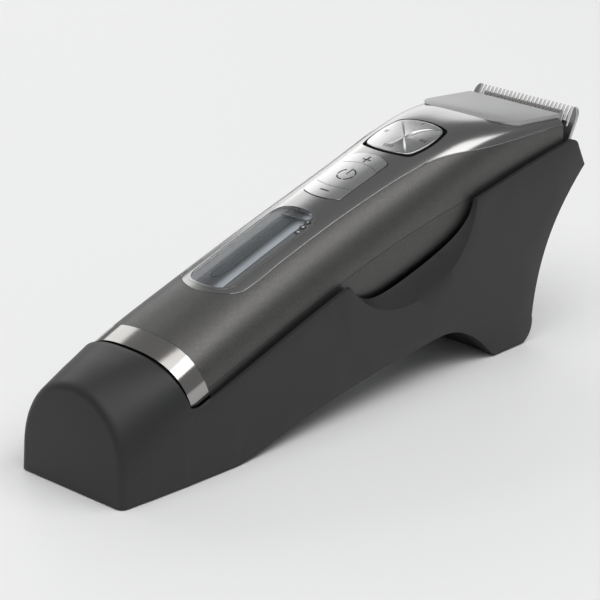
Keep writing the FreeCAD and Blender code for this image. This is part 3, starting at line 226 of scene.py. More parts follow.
def flake_paint(name, colour, lift):
    """Metallic paint with fine flakes under a thin satin coat."""
    paint = Finish(name)
    flakes = paint.cells(14000.0)
    bright = paint.ramp(flakes, (0.80, 0.0), (1.0, 1.0))
    cloud = paint.noise(1100.0, 3.0, 0.6)
    shade = paint.blend(cloud, [c * 0.93 for c in colour[:3]] + [1], [c * 1.07 for c in colour[:3]] + [1])
    tone = paint.blend(bright * lift, shade, (0.58, 0.56, 0.54, 1))
    tilt = paint.bump(flakes, 0.08, 0.00008)
    return paint.done(Base_Color=tone, Metallic=0.75, Roughness=0.42 + paint.noise(420.0) * 0.06, IOR=1.5,
                      Coat_Weight=0.10, Coat_Roughness=0.30, Normal=tilt)


def satin_metal(name, colour, roughness, along, strength=0.05):
    """Plated or brushed metal with fine lines along one direction."""
    metal = Finish(name)
    lines = metal.noise(9000.0, 3.0, 0.6, metal.turned(along))
    cloud = metal.noise(60.0, 2.0)
    tone = metal.blend(cloud * 0.6 + lines * 0.4, [c * 0.93 for c in colour[:3]] + [1],
                       [min(1.0, c * 1.07) for c in colour[:3]] + [1])
    return metal.done(Base_Color=tone, Metallic=1.0, Roughness=roughness * 0.88 + lines * roughness * 0.24,
                      Normal=metal.bump(lines, strength, 0.00004))


def moulded(name, colour, roughness, grain=1500.0, depth=0.12, specular=0.5):
    """Moulded plastic with a fine eroded texture."""
    plastic = Finish(name)
    texture = plastic.noise(grain, 3.0, 0.62)
    cloud = plastic.noise(30.0, 3.0)
    tone = plastic.blend(cloud, [c * 0.9 for c in colour[:3]] + [1], [c * 1.1 for c in colour[:3]] + [1])
    return plastic.done(Base_Color=tone, Roughness=roughness - 0.04 + texture * 0.08, IOR=1.48,
                        Specular_IOR_Level=specular, Normal=plastic.bump(texture, depth, 0.00008))


def smoked_lens(name, colour):
    lens = Finish(name)
    film = lens.noise(90.0, 2.0)
    tone = lens.blend(film, [c * 0.92 for c in colour[:3]] + [1], [min(1, c * 1.06) for c in colour[:3]] + [1])
    return lens.done(Base_Color=tone, Roughness=0.02 + film * 0.02, IOR=1.17, Transmission_Weight=0.97,
                     Specular_IOR_Level=0.08)


# ---------------------------------------------------------------- colours and sizes a user may change


def shade(label, value, warm=0.0):
    return FloatVectorProperty(name=label, description=label + " colour", subtype="COLOR", size=4,
                               min=0.0, max=1.0, default=grey(value, warm))


class ClipperColours(bpy.types.PropertyGroup):
    paint: shade("Grip paint", 0.085, 0.02)
    lower: shade("Lower shell", 0.072, 0.02)
    panel: shade("Top panel", 0.33, 0.01)
    plate: shade("Head plate", 0.46)
    ring: shade("Tail ring", 0.36, 0.03)
    keys: shade("Keys", 0.53)
    steel: shade("Blade steel", 0.50)
    stand: shade("Stand plastic", 0.0235, -0.01)
    lens: shade("Display lens", 0.74, -0.04)


class ClipperSizes(bpy.types.PropertyGroup):
    tooth_pitch: FloatProperty(name="Tooth pitch", description="Comb tooth to comb tooth",
                               default=1.6 * MM, unit="LENGTH")
    comb_teeth: IntProperty(name="Comb teeth", description="Narrow teeth of the comb", default=24)
    edge_round: FloatProperty(name="Edge rounding", description="Rounding of moulded edges",
                              default=0.25 * MM, unit="LENGTH")


class ClipperStage(bpy.types.PropertyGroup):
    floor: shade("Floor", 0.86)
    lens: FloatProperty(name="Lens", description="Focal length in millimetres", default=159.0)
    softbox: FloatProperty(name="Softbox", description="Strength of the main softbox", default=10.0,
                           subtype="POWER")


def colours():
    return bpy.context.scene.clipper_colours


def sizes():
    return bpy.context.scene.clipper_sizes


# ---------------------------------------------------------------- mesh helpers

FINISHES = {}


def finish_for(slot):
    """The finish of one of the record's material slots, made once."""
    if slot not in FINISHES:
        c = colours()
        across = (0.02, 1.0, 0.02)
        lengthwise = (0.02, 1.0, 1.0)
        makers = {
            "stand_plastic": lambda: moulded(slot, c.stand, 0.46, 1500.0, 0.16, 0.38),
            "cover_plastic": lambda: moulded(slot, c.stand, 0.55),
            "foot_rubber": lambda: moulded(slot, grey(0.02), 0.8, 900.0, 0.3, 0.25),
            "screw_steel": lambda: satin_metal(slot, grey(0.55), 0.32, lengthwise),
            "black_plastic": lambda: moulded(slot, grey(0.014), 0.42),
            "board_laminate": lambda: moulded(slot, (0.02, 0.12, 0.06, 1), 0.35, 400.0, 0.05),
            "motor_steel": lambda: satin_metal(slot, grey(0.45), 0.35, across),
            "contact_gold": lambda: satin_metal(slot, (0.83, 0.62, 0.25, 1), 0.22, lengthwise),
            "shell_paint": lambda: flake_paint(slot, c.paint, 0.30),
            "lower_plastic": lambda: flake_paint(slot, c.lower, 0.24),
            "panel_satin": lambda: satin_metal(slot, c.panel, 0.20, lengthwise, 0.03),
            "plate_satin": lambda: satin_metal(slot, c.plate, 0.50, across, 0.05),
            "bezel_chrome": lambda: satin_metal(slot, grey(0.36), 0.22, lengthwise, 0.02),
            "smoked_lens": lambda: smoked_lens(slot, c.lens),
            "ring_chrome": lambda: satin_metal(slot, c.ring, 0.13, across, 0.03),
            "cell_wrap": lambda: moulded(slot, (0.05, 0.20, 0.45, 1), 0.3, 300.0, 0.04),
            "switch_plastic": lambda: moulded(slot, grey(0.05), 0.5),
            "display_panel": lambda: moulded(slot, grey(0.03, -0.06), 0.16, 500.0, 0.02),
            "key_satin": lambda: satin_metal(slot, c.keys, 0.26, lengthwise, 0.03),
            "pad_satin": lambda: satin_metal(slot, c.keys, 0.26, lengthwise, 0.03),
            "lever_plastic": lambda: moulded(slot, (0.75, 0.74, 0.70, 1), 0.4),
            "blade_steel": lambda: satin_metal(slot, c.steel, 0.30, (1.0, 0.02, 1.0), 0.08),
            "cutter_steel": lambda: satin_metal(slot, grey(0.48, 0.03), 0.36, (1.0, 0.02, 1.0), 0.08),
            "ink": lambda: moulded(slot, grey(0.012), 0.5, 1200.0, 0.1),
        }
        FINISHES[slot] = makers[slot]()
    return FINISHES[slot]


def wear(obj, slot):
    obj.data.materials.clear()
    obj.data.materials.append(finish_for(slot))


def piece(name, mesh, body, slot, replaced=()):
    """A finished mesh in the row frame that rides on a body."""
    obj = bpy.data.objects.new(name, mesh)
    bpy.context.scene.collection.objects.link(obj)
    wear(obj, slot)
    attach(obj, body)
    if replaced:
        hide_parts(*replaced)
    return obj


def mesh_from(name, points, faces, place=None, smooth=True):
    """Mesh from points in one of the frames."""
    mesh = bpy.data.meshes.new(name)
    mesh.from_pydata([tuple(place @ Vector(p)) if place else tuple(p) for p in points], [], faces)
    mesh.validate()
    for face in mesh.polygons:
        face.use_smooth = smooth
    return mesh


def merged(node):
    """Joined-up bmesh of a CAD node."""
    shape = bmesh.new()
    shape.from_mesh(NODES[node].data)
    bmesh.ops.remove_doubles(shape, verts=shape.verts, dist=2e-6)
    bmesh.ops.dissolve_degenerate(shape, edges=shape.edges, dist=2e-6)
    return shape


def applied(obj):
    """Plain mesh of an object with its modifiers, which are then gone."""
    depsgraph = bpy.context.evaluated_depsgraph_get()
    mesh = bpy.data.meshes.new_from_object(obj.evaluated_get(depsgraph))
    old = obj.data
    obj.modifiers.clear()
    obj.data = mesh
    bpy.data.meshes.remove(old)
    return obj


def refined(node, rounding, skin=None, angle=32.0, segments=2):
    """Copy of a CAD node with rounded edges and, on the clipper's skin, exact normals."""
    shape = merged(node)
    mesh = bpy.data.meshes.new(node + "_skin")
    shape.to_mesh(mesh)
    shape.free()
    obj = bpy.data.objects.new(node + "_skin", mesh)
    bpy.context.scene.collection.objects.link(obj)
    if rounding:
        bevel = obj.modifiers.new("Rounded edges", "BEVEL")
        bevel.width = rounding * MM
        bevel.segments = segments
        bevel.limit_method = "ANGLE"
        bevel.angle_limit = math.radians(angle)
        bevel.use_clamp_overlap = True
        applied(obj)
    obj.data.materials.clear()
    for face in obj.data.polygons:
        face.use_smooth = True
    obj.data.set_sharp_from_angle(angle=math.radians(34.0))
    if skin is not None:
        exact_normals(obj.data, skin)
    wear(obj, SLOT_OF[node])
    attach(obj, BODY_OF[node])
    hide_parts(node)
    return obj


def exact_normals(mesh, skin):
    """Loop normals taken from the clipper's surface where the mesh lies on it."""
    back = CLIPPER.inverted()
    turn = CLIPPER.to_3x3().normalized()
    exact = {}
    for vertex in mesh.vertices:
        normal, off = skin_normal(back @ vertex.co)
        if abs(off - skin) < 0.2:
            exact[vertex.index] = turn @ normal
    normals = [Vector(loop.vector) for loop in mesh.corner_normals]
    for face in mesh.polygons:
        for loop in face.loop_indices:
            found = exact.get(mesh.loops[loop].vertex_index)
            if found is not None and found.dot(face.normal) > 0.86:
                normals[loop] = found
    mesh.normals_split_custom_set([tuple(n) for n in normals])


class Ground:
    """Heights of a CAD node's upper side over the clipper's plan."""

    def __init__(self, *nodes):
        points, faces = [], []
        back = CLIPPER.inverted()
        for node in nodes:
            data = NODES[node].data
            base = len(points)
            points += [back @ vertex.co for vertex in data.vertices]
            faces += [[base + v for v in face.vertices] for face in data.polygons]
        self.tree = BVHTree.FromPolygons(points, faces)

    def at(self, along, across, lift):
        hit = self.tree.ray_cast(Vector((along, across, 60.0)), Vector((0, 0, -1)))[0]
        height = hit.z if hit else crown(along, across).z
        return Vector((along, across, height + lift))


def ribbon(points, width, closed=False):
    """Left and right sides of a stroke along plan points."""
    count = len(points)
    left, right = [], []
    for index, here in enumerate(points):
        before = points[(index - 1) % count] if closed or index else here
        after = points[(index + 1) % count] if closed or index < count - 1 else here
        run = Vector(after) - Vector(before)
        side = Vector((-run.y, run.x)).normalized() * width / 2
        left.append((here[0] + side.x, here[1] + side.y))
        right.append((here[0] - side.x, here[1] - side.y))
    return left, right


def dense(points, step=0.3):
    """Plan points no further apart than a step."""
    filled = [points[0]]
    for first, last in zip(points, points[1:]):
        count = max(1, math.ceil((Vector(last) - Vector(first)).length / step))
        filled += [tuple(Vector(first).lerp(Vector(last), (i + 1) / count)) for i in range(count)]
    return filled


def arc(center, radius, start, end, count=24):
    """Plan points on a circle, angles in degrees from the clipper's long direction."""
    angles = [math.radians(start + (end - start) * i / count) for i in range(count + 1)]
    return [(center[0] + radius * math.cos(a), center[1] + radius * math.sin(a)) for a in angles]


def inlay(name, strokes, width, ground, lift, depth, body, slot):
    """Thin bars let into a surface along plan strokes."""
    points, faces = [], []
    for stroke in strokes:
        left, right = ribbon(dense(stroke), width)
        base = len(points)
        for low, high in zip(left, right):
            points += [ground.at(*low, -depth), ground.at(*low, lift), ground.at(*high, lift),
                       ground.at(*high, -depth)]
        count = len(left)
        for i in range(count - 1):
            here, there = base + 4 * i, base + 4 * i + 4
            faces += [(here + k, there + k, there + (k + 1) % 4, here + (k + 1) % 4) for k in range(4)]
        faces += [(base + 3, base + 2, base + 1, base), tuple(base + 4 * (count - 1) + k for k in range(4))]
    mesh = mesh_from(name, points, faces, CLIPPER, smooth=False)
    outward(mesh)
    return piece(name, mesh, body, slot)


def outward(mesh):
    """Turn a closed mesh's faces outwards."""
    shape = bmesh.new()
    shape.from_mesh(mesh)
    bmesh.ops.recalc_face_normals(shape, faces=shape.faces)
    shape.to_mesh(mesh)
    shape.free()


# ---------------------------------------------------------------- repeating rows


def row_tree():
    """Geometry Nodes tree that repeats its own input along a straight row."""
    name = "Row of like parts"
    if name in bpy.data.node_groups:
        return bpy.data.node_groups[name]
    tree = bpy.data.node_groups.new(name, "GeometryNodeTree")
    for label, kind in (("Geometry", "NodeSocketGeometry"), ("Count", "NodeSocketInt"),
                        ("Start", "NodeSocketVector"), ("Step", "NodeSocketVector"),
                        ("Finish", "NodeSocketMaterial")):
        tree.interface.new_socket(label, in_out="INPUT", socket_type=kind)
    tree.interface.new_socket("Geometry", in_out="OUTPUT", socket_type="NodeSocketGeometry")
    given = tree.nodes.new("NodeGroupInput")
    result = tree.nodes.new("NodeGroupOutput")
    points = tree.nodes.new("GeometryNodeMeshLine")
    points.mode = "OFFSET"
    copies = tree.nodes.new("GeometryNodeInstanceOnPoints")
    real = tree.nodes.new("GeometryNodeRealizeInstances")
    coat = tree.nodes.new("GeometryNodeSetMaterial")
    for source, target in ((given.outputs["Count"], points.inputs["Count"]),
                           (given.outputs["Start"], points.inputs["Start Location"]),
                           (given.outputs["Step"], points.inputs["Offset"]),
                           (points.outputs["Mesh"], copies.inputs["Points"]),
                           (given.outputs["Geometry"], copies.inputs["Instance"]),
                           (copies.outputs["Instances"], real.inputs["Geometry"]),
                           (real.outputs["Geometry"], coat.inputs["Geometry"]),
                           (given.outputs["Finish"], coat.inputs["Material"]),
                           (coat.outputs["Geometry"], result.inputs["Geometry"])):
        tree.links.new(source, target)
    return tree


def row(name, mesh, count, start, step, body, slot, replaced=()):
    """Like parts in a row, start and step in metres in the row frame."""
    obj = bpy.data.objects.new(name, mesh)
    bpy.context.scene.collection.objects.link(obj)
    modifier = obj.modifiers.new("Row", "NODES")
    modifier.node_group = row_tree()
    keys = {item.name: item.identifier for item in modifier.node_group.interface.items_tree
            if item.in_out == "INPUT"}
    modifier[keys["Count"]] = count
    modifier[keys["Start"]] = tuple(start)
    modifier[keys["Step"]] = tuple(step)
    modifier[keys["Finish"]] = finish_for(slot)
    applied(obj)
    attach(obj, body)
    if replaced:
        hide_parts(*replaced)
    return obj


def bead_tree():
    """Geometry Nodes tree that runs a round bead along a path of edges."""
    name = "Bead along a path"
    if name in bpy.data.node_groups:
        return bpy.data.node_groups[name]
    tree = bpy.data.node_groups.new(name, "GeometryNodeTree")
    for label, kind in (("Geometry", "NodeSocketGeometry"), ("Radius", "NodeSocketFloat"),
                        ("Sides", "NodeSocketInt"), ("Finish", "NodeSocketMaterial")):
        tree.interface.new_socket(label, in_out="INPUT", socket_type=kind)
    tree.interface.new_socket("Geometry", in_out="OUTPUT", socket_type="NodeSocketGeometry")
    given = tree.nodes.new("NodeGroupInput")
    result = tree.nodes.new("NodeGroupOutput")
    path = tree.nodes.new("GeometryNodeMeshToCurve")
    ring = tree.nodes.new("GeometryNodeCurvePrimitiveCircle")
    tube = tree.nodes.new("GeometryNodeCurveToMesh")
    tube.inputs["Fill Caps"].default_value = True
    smooth = tree.nodes.new("GeometryNodeSetShadeSmooth")
    real = tree.nodes.new("GeometryNodeRealizeInstances")
    coat = tree.nodes.new("GeometryNodeSetMaterial")
    for source, target in ((given.outputs["Geometry"], path.inputs["Mesh"]),
                           (given.outputs["Radius"], ring.inputs["Radius"]),
                           (given.outputs["Sides"], ring.inputs["Resolution"]),
                           (path.outputs["Curve"], tube.inputs["Curve"]),
                           (ring.outputs["Curve"], tube.inputs["Profile Curve"]),
                           (tube.outputs["Mesh"], smooth.inputs["Geometry"]),
                           (smooth.outputs["Geometry"], real.inputs["Geometry"]),
                           (real.outputs["Geometry"], coat.inputs["Geometry"]),
                           (given.outputs["Finish"], coat.inputs["Material"]),
                           (coat.outputs["Geometry"], result.inputs["Geometry"])):
        tree.links.new(source, target)
    return tree


def bead(name, spots, radius, body, slot, closed=False):
    """Round bead through clipper-frame points."""
    mesh = bpy.data.meshes.new(name)
    edges = [(i, i + 1) for i in range(len(spots) - 1)] + ([(len(spots) - 1, 0)] if closed else [])
    mesh.from_pydata([tuple(CLIPPER @ Vector(spot)) for spot in spots], edges, [])
    obj = bpy.data.objects.new(name, mesh)
    bpy.context.scene.collection.objects.link(obj)
    modifier = obj.modifiers.new("Bead", "NODES")
    modifier.node_group = bead_tree()
    keys = {item.name: item.identifier for item in modifier.node_group.interface.items_tree
            if item.in_out == "INPUT"}
    modifier[keys["Radius"]] = radius * MM
    modifier[keys["Sides"]] = 10
    modifier[keys["Finish"]] = finish_for(slot)
    applied(obj)
    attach(obj, body)
    return obj


# ---------------------------------------------------------------- pieces

INSIDE = ["base_cover", "rubber_feet", "base_screws", "contact_block", "stand_board", "supply_inlet",
          "ballast_block", "charge_pin_left", "charge_pin_right", "tail_cap", "tail_contacts",
          "battery_cell", "cell_saddle", "main_board", "inner_frame", "board_screws", "key_switches",
          "display_module", "motor", "motor_bracket", "motor_screws", "lever_post", "blade_hinge_pin",
          "head_bulkhead", "pad_gimbal", "motor_crank", "drive_lever", "blade_holder",
          "blade_screws", "blade_spring", "length_bridge", "cutter_blade", "cutter_driver",
          "display_window"]


class CLIPPER_OT_hardware(bpy.types.Operator):
    """Finishes for the small and inner pieces"""
    bl_idname = "clipper.hardware"
    bl_label = "Hardware"

    def execute(self, context):
        for node in INSIDE:
            wear(NODES[node], SLOT_OF[node])
        return {"FINISHED"}


class CLIPPER_OT_shells(bpy.types.Operator):
    """Painted grip, lower shell and top panel"""
    bl_idname = "clipper.shells"
    bl_label = "Shells"

    def execute(self, context):
        refined("upper_shell", 0.12, skin=0.0)
        refined("lower_shell", 0.12, skin=0.0)
        refined("top_panel", 0.12, skin=0.0)
        refined("tail_ring", 0.12, skin=0.1)
        return {"FINISHED"}


class CLIPPER_OT_head(bpy.types.Operator):
    """Flat satin plate over the head"""
    bl_idname = "clipper.head"
    bl_label = "Head plate"

    def execute(self, context):
        refined("head_plate", 0.2)
        return {"FINISHED"}


KEY_PROUD = 0.25
POWER_SPOT = (133.4, 0.0)
PLUS_SPOT = (143.2, 0.0)
MINUS_SPOT = (123.0, 0.0)


class CLIPPER_OT_keys(bpy.types.Operator):
    """Minus, power and plus keys with their inlaid marks"""
    bl_idname = "clipper.keys"
    bl_label = "Keys"

    def execute(self, context):
        for node in ("minus_key", "power_key", "plus_key"):
            refined(node, 0.22, skin=KEY_PROUD)
        marks = {
            "minus": [[(MINUS_SPOT[0], -1.8), (MINUS_SPOT[0], 1.8)]],
            "plus": [[(PLUS_SPOT[0], -1.7), (PLUS_SPOT[0], 1.7)], [(PLUS_SPOT[0] - 1.9, 0), (PLUS_SPOT[0] + 1.9, 0)]],
            "power": [arc(POWER_SPOT, 3.0, 38 + 81 * k, 106 + 81 * k, 12) for k in range(4)] + [
                [POWER_SPOT, (POWER_SPOT[0] + 3.6, 0)]],
        }
        for key, strokes in marks.items():
            ground = Ground(key + "_key")
            inlay(key + "_mark", strokes, 0.55, ground, 0.02, 0.3, key + "_key", "ink")
        return {"FINISHED"}


# ---------------------------------------------------------------- length pad

PAD_MIDDLE = 161.4
PAD_LONG = 10.9
PAD_WIDE = 10.6


def bowed(first, last, bulge, count):
    """Plan points on a shallow arc between two corners."""
    first, last = Vector(first), Vector(last)
    middle = (first + last) / 2
    out = (middle - Vector((PAD_MIDDLE, 0))).normalized() * bulge
    return [tuple(first.lerp(last, t) + out * (4 * t * (1 - t))) for t in (i / count for i in range(count))]


def pad_outline():
    """Square with bowed sides and rounded corners, evenly filled."""
    long, wide = PAD_LONG - 2.2, PAD_WIDE - 1.5
    corners = [(PAD_MIDDLE - long, -wide), (PAD_MIDDLE + long, -wide), (PAD_MIDDLE + long, wide),
               (PAD_MIDDLE - long, wide)]
    spots = []
    for index in range(4):
        bulge = 1.5 if index % 2 == 0 else 2.2
        spots += bowed(corners[index], corners[(index + 1) % 4], bulge, 44)
    for _ in range(14):
        count = len(spots)
        spots = [tuple((Vector(spots[i - 1]) + Vector(spots[i]) * 2 + Vector(spots[(i + 1) % count])) / 4)
                 for i in range(count)]
    return spots


PAD_CENTER = Vector((160.3, -0.9))
PAD_STEPS = (0.12, 0.85, 0.5, 0.05)


def pad_relief(spot, share):
    """Depth of the pinwheel of four tilted lobes at a plan place; share is 1 at the pad's edge."""
    away = spot - PAD_CENTER
    reach = away.length
    if reach < 1e-6:
        return 0.0
    bend = 8.0 - 45.0 * min(1.0, reach / 12.0) ** 1.3
    arms = (45.0, bend, -135.0, bend - 180.0, -315.0)
    angle = math.degrees(math.atan2(away.y, away.x))
    if angle > 45.0:
        angle -= 360.0
    for start, end, depth in zip(arms, arms[1:], PAD_STEPS):
        if start >= angle > end or end == -315.0:
            turned = (start - angle) / (start - end)
            wall = min(1.0, reach * math.sin(min(math.pi / 2, math.radians(max(0.0, start - angle)))) / 0.55)
            wall = wall * wall * (3 - 2 * wall)
            return depth * wall * (1 - turned) ** 1.3 * max(0.0, 1 - share) ** 0.7
    return 0.0


class CLIPPER_OT_pad(bpy.types.Operator):
    """Length pad with its four dished lobes and tally marks"""
    bl_idname = "clipper.pad"
    bl_label = "Length pad"

    def execute(self, context):
        outline = [Vector(spot) for spot in pad_outline()]
        middle = PAD_CENTER
        rings = [1.0, 1.0, 0.997, 0.985, 0.965] + [0.94 - 0.94 * i / 56 for i in range(56)]
        drops = [1.6, 0.30, 0.10, 0.02, 0.0] + [0.0] * 56
        points = []
        for share, drop in zip(rings, drops):
            for edge in outline:
                spot = middle.lerp(edge, share)
                points.append(crown(spot.x, spot.y, KEY_PROUD) - Vector((0, 0, pad_relief(spot, share) + drop)))
        points.append(crown(middle.x, middle.y, KEY_PROUD - 0.1))
        count = len(outline)
        faces = []
        for ring in range(len(rings) - 1):
            for i in range(count):
                j = (i + 1) % count
                faces.append((ring * count + i, ring * count + j, (ring + 1) * count + j, (ring + 1) * count + i))
        last = (len(rings) - 1) * count
        faces += [(last + i, last + (i + 1) % count, len(points) - 1) for i in range(count)]
        faces.append(tuple(range(count - 1, -1, -1)))
        mesh = mesh_from("length_pad_top", points, faces, CLIPPER)
        outward(mesh)
        mesh.set_sharp_from_angle(angle=math.radians(50.0))
        top = piece("length_pad_top", mesh, "length_pad", "pad_satin", ["length_pad"])
        ground = Ground()
        ground.tree = BVHTree.FromPolygons([CLIPPER.inverted() @ v.co for v in top.data.vertices],
                                           [list(f.vertices) for f in top.data.polygons])
        tallies = tally((170.6, 0), 1, True) + tally((161.4, 7.6), 2, False) + tally((161.4, -7.8), 3, False)
        tallies += tally((153.6, 0), 4, True)
        inlay("pad_marks", tallies, 0.34, ground, 0.02, 0.2, "length_pad", "ink")
        return {"FINISHED"}


def tally(spot, strokes, across):
    """Short parallel strokes round a place on the pad."""
    lines = []
    for index in range(strokes):
        shift = (index - (strokes - 1) / 2) * 0.95
        lines.append([(spot[0] - 0.85, spot[1] + shift), (spot[0] + 0.85, spot[1] + shift)])
    return lines


# ---------------------------------------------------------------- display window

WINDOW = (66.9, 111.5, 8.5)


def window_outline(grow, count=10):
    """Plan outline of the display window: bowed ends and rounded corners."""
    first, last, half = WINDOW[0] - grow, WINDOW[1] + grow, WINDOW[2] + grow
    spots = []
    corners = ((first + 7.6, half - 4.6, 7.2, 4.6, 180, 90), (last - 6.0, half - 4.6, 5.6, 4.6, 90, 0))
    for px, py, rx, ry, start, end in corners:
        for i in range(count + 1):
            angle = math.radians(start + (end - start) * i / count)
            spots.append((px + rx * math.cos(angle), py + ry * math.sin(angle)))
    spots = [(first, 0.0)] + spots + [(last, 0.0)]
    return spots + [(px, -py) for px, py in reversed(spots[1:-1])]


class CLIPPER_OT_window(bpy.types.Operator):
    """Smoked lens, its bright rim and the tray seen through it, with a painted reflection band on the tray"""
    bl_idname = "clipper.window"
    bl_label = "Display window"

    def execute(self, context):
        refined("window_bezel", 0.15, skin=0.15)
        points, faces = [], []
        steps, sides = 60, 28
        for i in range(steps + 1):
            along = WINDOW[0] - 0.2 + (WINDOW[1] - WINDOW[0] + 0.4) * i / steps
            for j in range(sides + 1):
                across = (WINDOW[2] + 0.2) * (2 * j / sides - 1)
                dip = 2.15 + 0.5 * math.cos(math.pi * across / WINDOW[2])
                points.append(crown(along, across, -dip))
        for i in range(steps):
            for j in range(sides):
                here = i * (sides + 1) + j
                faces.append((here, here + sides + 1, here + sides + 2, here + 1))
        tray = bpy.data.objects.new("display_tray_painted_reflection", mesh_from("display_tray_painted_reflection", points, faces, CLIPPER))
        context.scene.collection.objects.link(tray)
        wall = tray.modifiers.new("Wall", "SOLIDIFY")
        wall.thickness = 0.3 * MM
        wall.offset = -1.0
        applied(tray)
        tray.data.materials.clear()
        tray.data.materials.append(tray_painted_reflection_finish())
        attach(tray, "clipper")
        rim = [Vector((*spot, 0)) for spot in window_outline(-2.6)]
        frame_line = [crown(72.0 + (x - 69.5) * 0.93, y * 0.42 + 0.8, -1.45) for x, y, _ in rim]
        bead("display_line", frame_line, 0.12, "clipper", "display_panel", closed=True)
        posts = [crown(107.8, y, -1.2) for y in (4.5, 2.0, -1.5, -4.0, -6.2)]
        bead("display_end", posts, 0.5, "clipper", "bezel_chrome")
        pin = bpy.data.meshes.new("display_pins")
        shape = bmesh.new()
        bmesh.ops.create_uvsphere(shape, u_segments=16, v_segments=10, radius=1.15 * MM)
        shape.to_mesh(pin)
        shape.free()
        for face in pin.polygons:
            face.use_smooth = True
        start = CLIPPER @ crown(102.6, -6.6, -1.9)
        step = (CLIPPER @ crown(105.3, -6.2, -1.9)) - start
        row("display_pins", pin, 3, start, step, "clipper", "bezel_chrome")
        return {"FINISHED"}


def tray_painted_reflection_finish():
    """Dark tray with a painted reflection: a bright band painted along one side, and a grey strip along the other."""
    tray = Finish("display_tray_painted_reflection")
    side = tray.node("ShaderNodeSeparateXYZ", None, {0: tray.place}, out="Y")
    level = side * 50.0 + 0.5
    # painted reflection: the bright stops (0.95, 0.85) on one side of this ramp stand in for a reflection and are
    # painted into the base colour
    tone = tray.ramp(level, (0.0, 0.16), (0.21, 0.22), (0.232, 0.02), (0.255, 0.95), (0.33, 0.85), (0.44, 0.15),
                     (0.66, 0.07), (0.735, 0.03), (0.755, 0.32), (1.0, 0.48))
    return tray.done(Base_Color=tone, Roughness=0.42 + tray.noise(200.0) * 0.1, Metallic=0.1)


# ---------------------------------------------------------------- bright lines along the panel


def panel_side():
    """Clipper-frame points along one lower edge of the top panel, tail to head."""
    plan = [(66.0, 8.0), (68.0, 10.3), (72.0, 12.3), (90.0, 12.33), (114.0, 12.4), (136.0, 13.2), (144.0, 13.75),
            (152.0, 14.5)]
    edge = [(152.0, 26.75), (158.0, 25.9), (164.0, 24.55), (170.0, 22.7), (177.0, 20.4), (184.0, 18.2),
            (198.0, 13.8), (216.0, 7.4)]
    spots = []
    for i in range(87):
        along = 68.0 + i
        spots.append(crown(along, between(plan, along, 1)))
    for i in range(1, 51):
        along = 154.0 + i
        half, middle, top, _, power, _ = station(along)
        level = between(edge, along, 1)
        share = (level - middle) / (top - middle)
        spots.append(Vector((along, half * (1 - max(0.0, share) ** power) ** (1 / power), level)))
    return spots


class CLIPPER_OT_trim(bpy.types.Operator):
    """Fine bright beads along the lower edges of the top panel"""
    bl_idname = "clipper.trim"
    bl_label = "Panel trim"

    def execute(self, context):
        side = panel_side()
        for name, sign in (("trim_left", 1), ("trim_right", -1)):
            bead(name, [(p.x, sign * p.y, p.z) for p in side], 0.17, "clipper", "bezel_chrome")
        return {"FINISHED"}


# ---------------------------------------------------------------- blades


class CLIPPER_OT_blades(bpy.types.Operator):
    """Comb blade with its row of slender teeth"""
    bl_idname = "clipper.blades"
    bl_label = "Blades"

    def execute(self, context):
        half, root, inner = 22.0, -7.0, 19.6
        prong = [(half, -24.6 + 1.2), (half, -3.6), (21.85, -2.4), (21.5, -1.3), (20.95, -0.5), (20.3, -0.08), (19.9, -0.05),
                 (inner, -0.4), (inner, root)]
        outline = [(half - 1.2, -24.6)] + prong
        outline += [(-y, z) for y, z in reversed(outline)]
        thick = 1.2
        shape = bmesh.new()
        front = [shape.verts.new(BLADE @ Vector((0, y, z))) for y, z in outline]
        back = [shape.verts.new(BLADE @ Vector((-thick, y, z))) for y, z in outline]
        shape.faces.new(front)
        shape.faces.new(list(reversed(back)))
        for i in range(len(outline)):
            j = (i + 1) % len(outline)
            shape.faces.new((front[j], front[i], back[i], back[j]))
        bmesh.ops.recalc_face_normals(shape, faces=shape.faces)
        mesh = bpy.data.meshes.new("comb_plate")
        shape.to_mesh(mesh)
        shape.free()
        plate = bpy.data.objects.new("comb_plate", mesh)
        context.scene.collection.objects.link(plate)
        bevel = plate.modifiers.new("Ground edges", "BEVEL")
        bevel.width = 0.16 * MM
        bevel.segments = 2
        applied(plate)
        wear(plate, "blade_steel")
        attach(plate, "blade_set")
        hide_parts("comb_blade")
        pitch = sizes().tooth_pitch / MM
        tooth = mesh_from("comb_teeth", *tooth_shape(0.78, 0.50, 7.3, thick, 0.50), smooth=False)
        tooth.transform(BLADE.to_3x3().to_4x4())
        outward(tooth)
        count = sizes().comb_teeth
        start = BLADE @ Vector((0, -pitch * (count - 1) / 2, 0))
        step = BLADE.to_3x3() @ Vector((0, pitch, 0))
        row("comb_teeth", tooth, count, start, step, "blade_set", "blade_steel")
        return {"FINISHED"}


def tooth_shape(root_width, tip_width, length, root_thick, tip_thick):
    """One tooth pointing along +Z with its tip at the origin, skin face at x = 0."""
    sections = [(-length, root_width, root_thick), (-length * 0.5, root_width * 0.92, root_thick * 0.92),
                (-length * 0.2, root_width * 0.72, root_thick * 0.66),
                (-0.35, tip_width, tip_thick), (-0.08, tip_width * 0.7, tip_thick * 0.8), (0.0, tip_width * 0.25, tip_thick * 0.5)]
    points, faces = [], []
    for level, width, thick in sections:
        w = width / 2
        c = min(0.12, w * 0.5)
        points += [(0, -w + c, level), (0, w - c, level), (-c, w, level), (-thick + c * 0.5, w, level),
                   (-thick, w - c, level), (-thick, -w + c, level), (-thick + c * 0.5, -w, level), (-c, -w, level)]
    for ring in range(len(sections) - 1):
        for i in range(8):
            j = (i + 1) % 8
            faces.append((ring * 8 + i, ring * 8 + j, ring * 8 + 8 + j, ring * 8 + 8 + i))
    faces += [tuple(range(7, -1, -1)), tuple(range(len(points) - 8, len(points)))]
    return points, faces


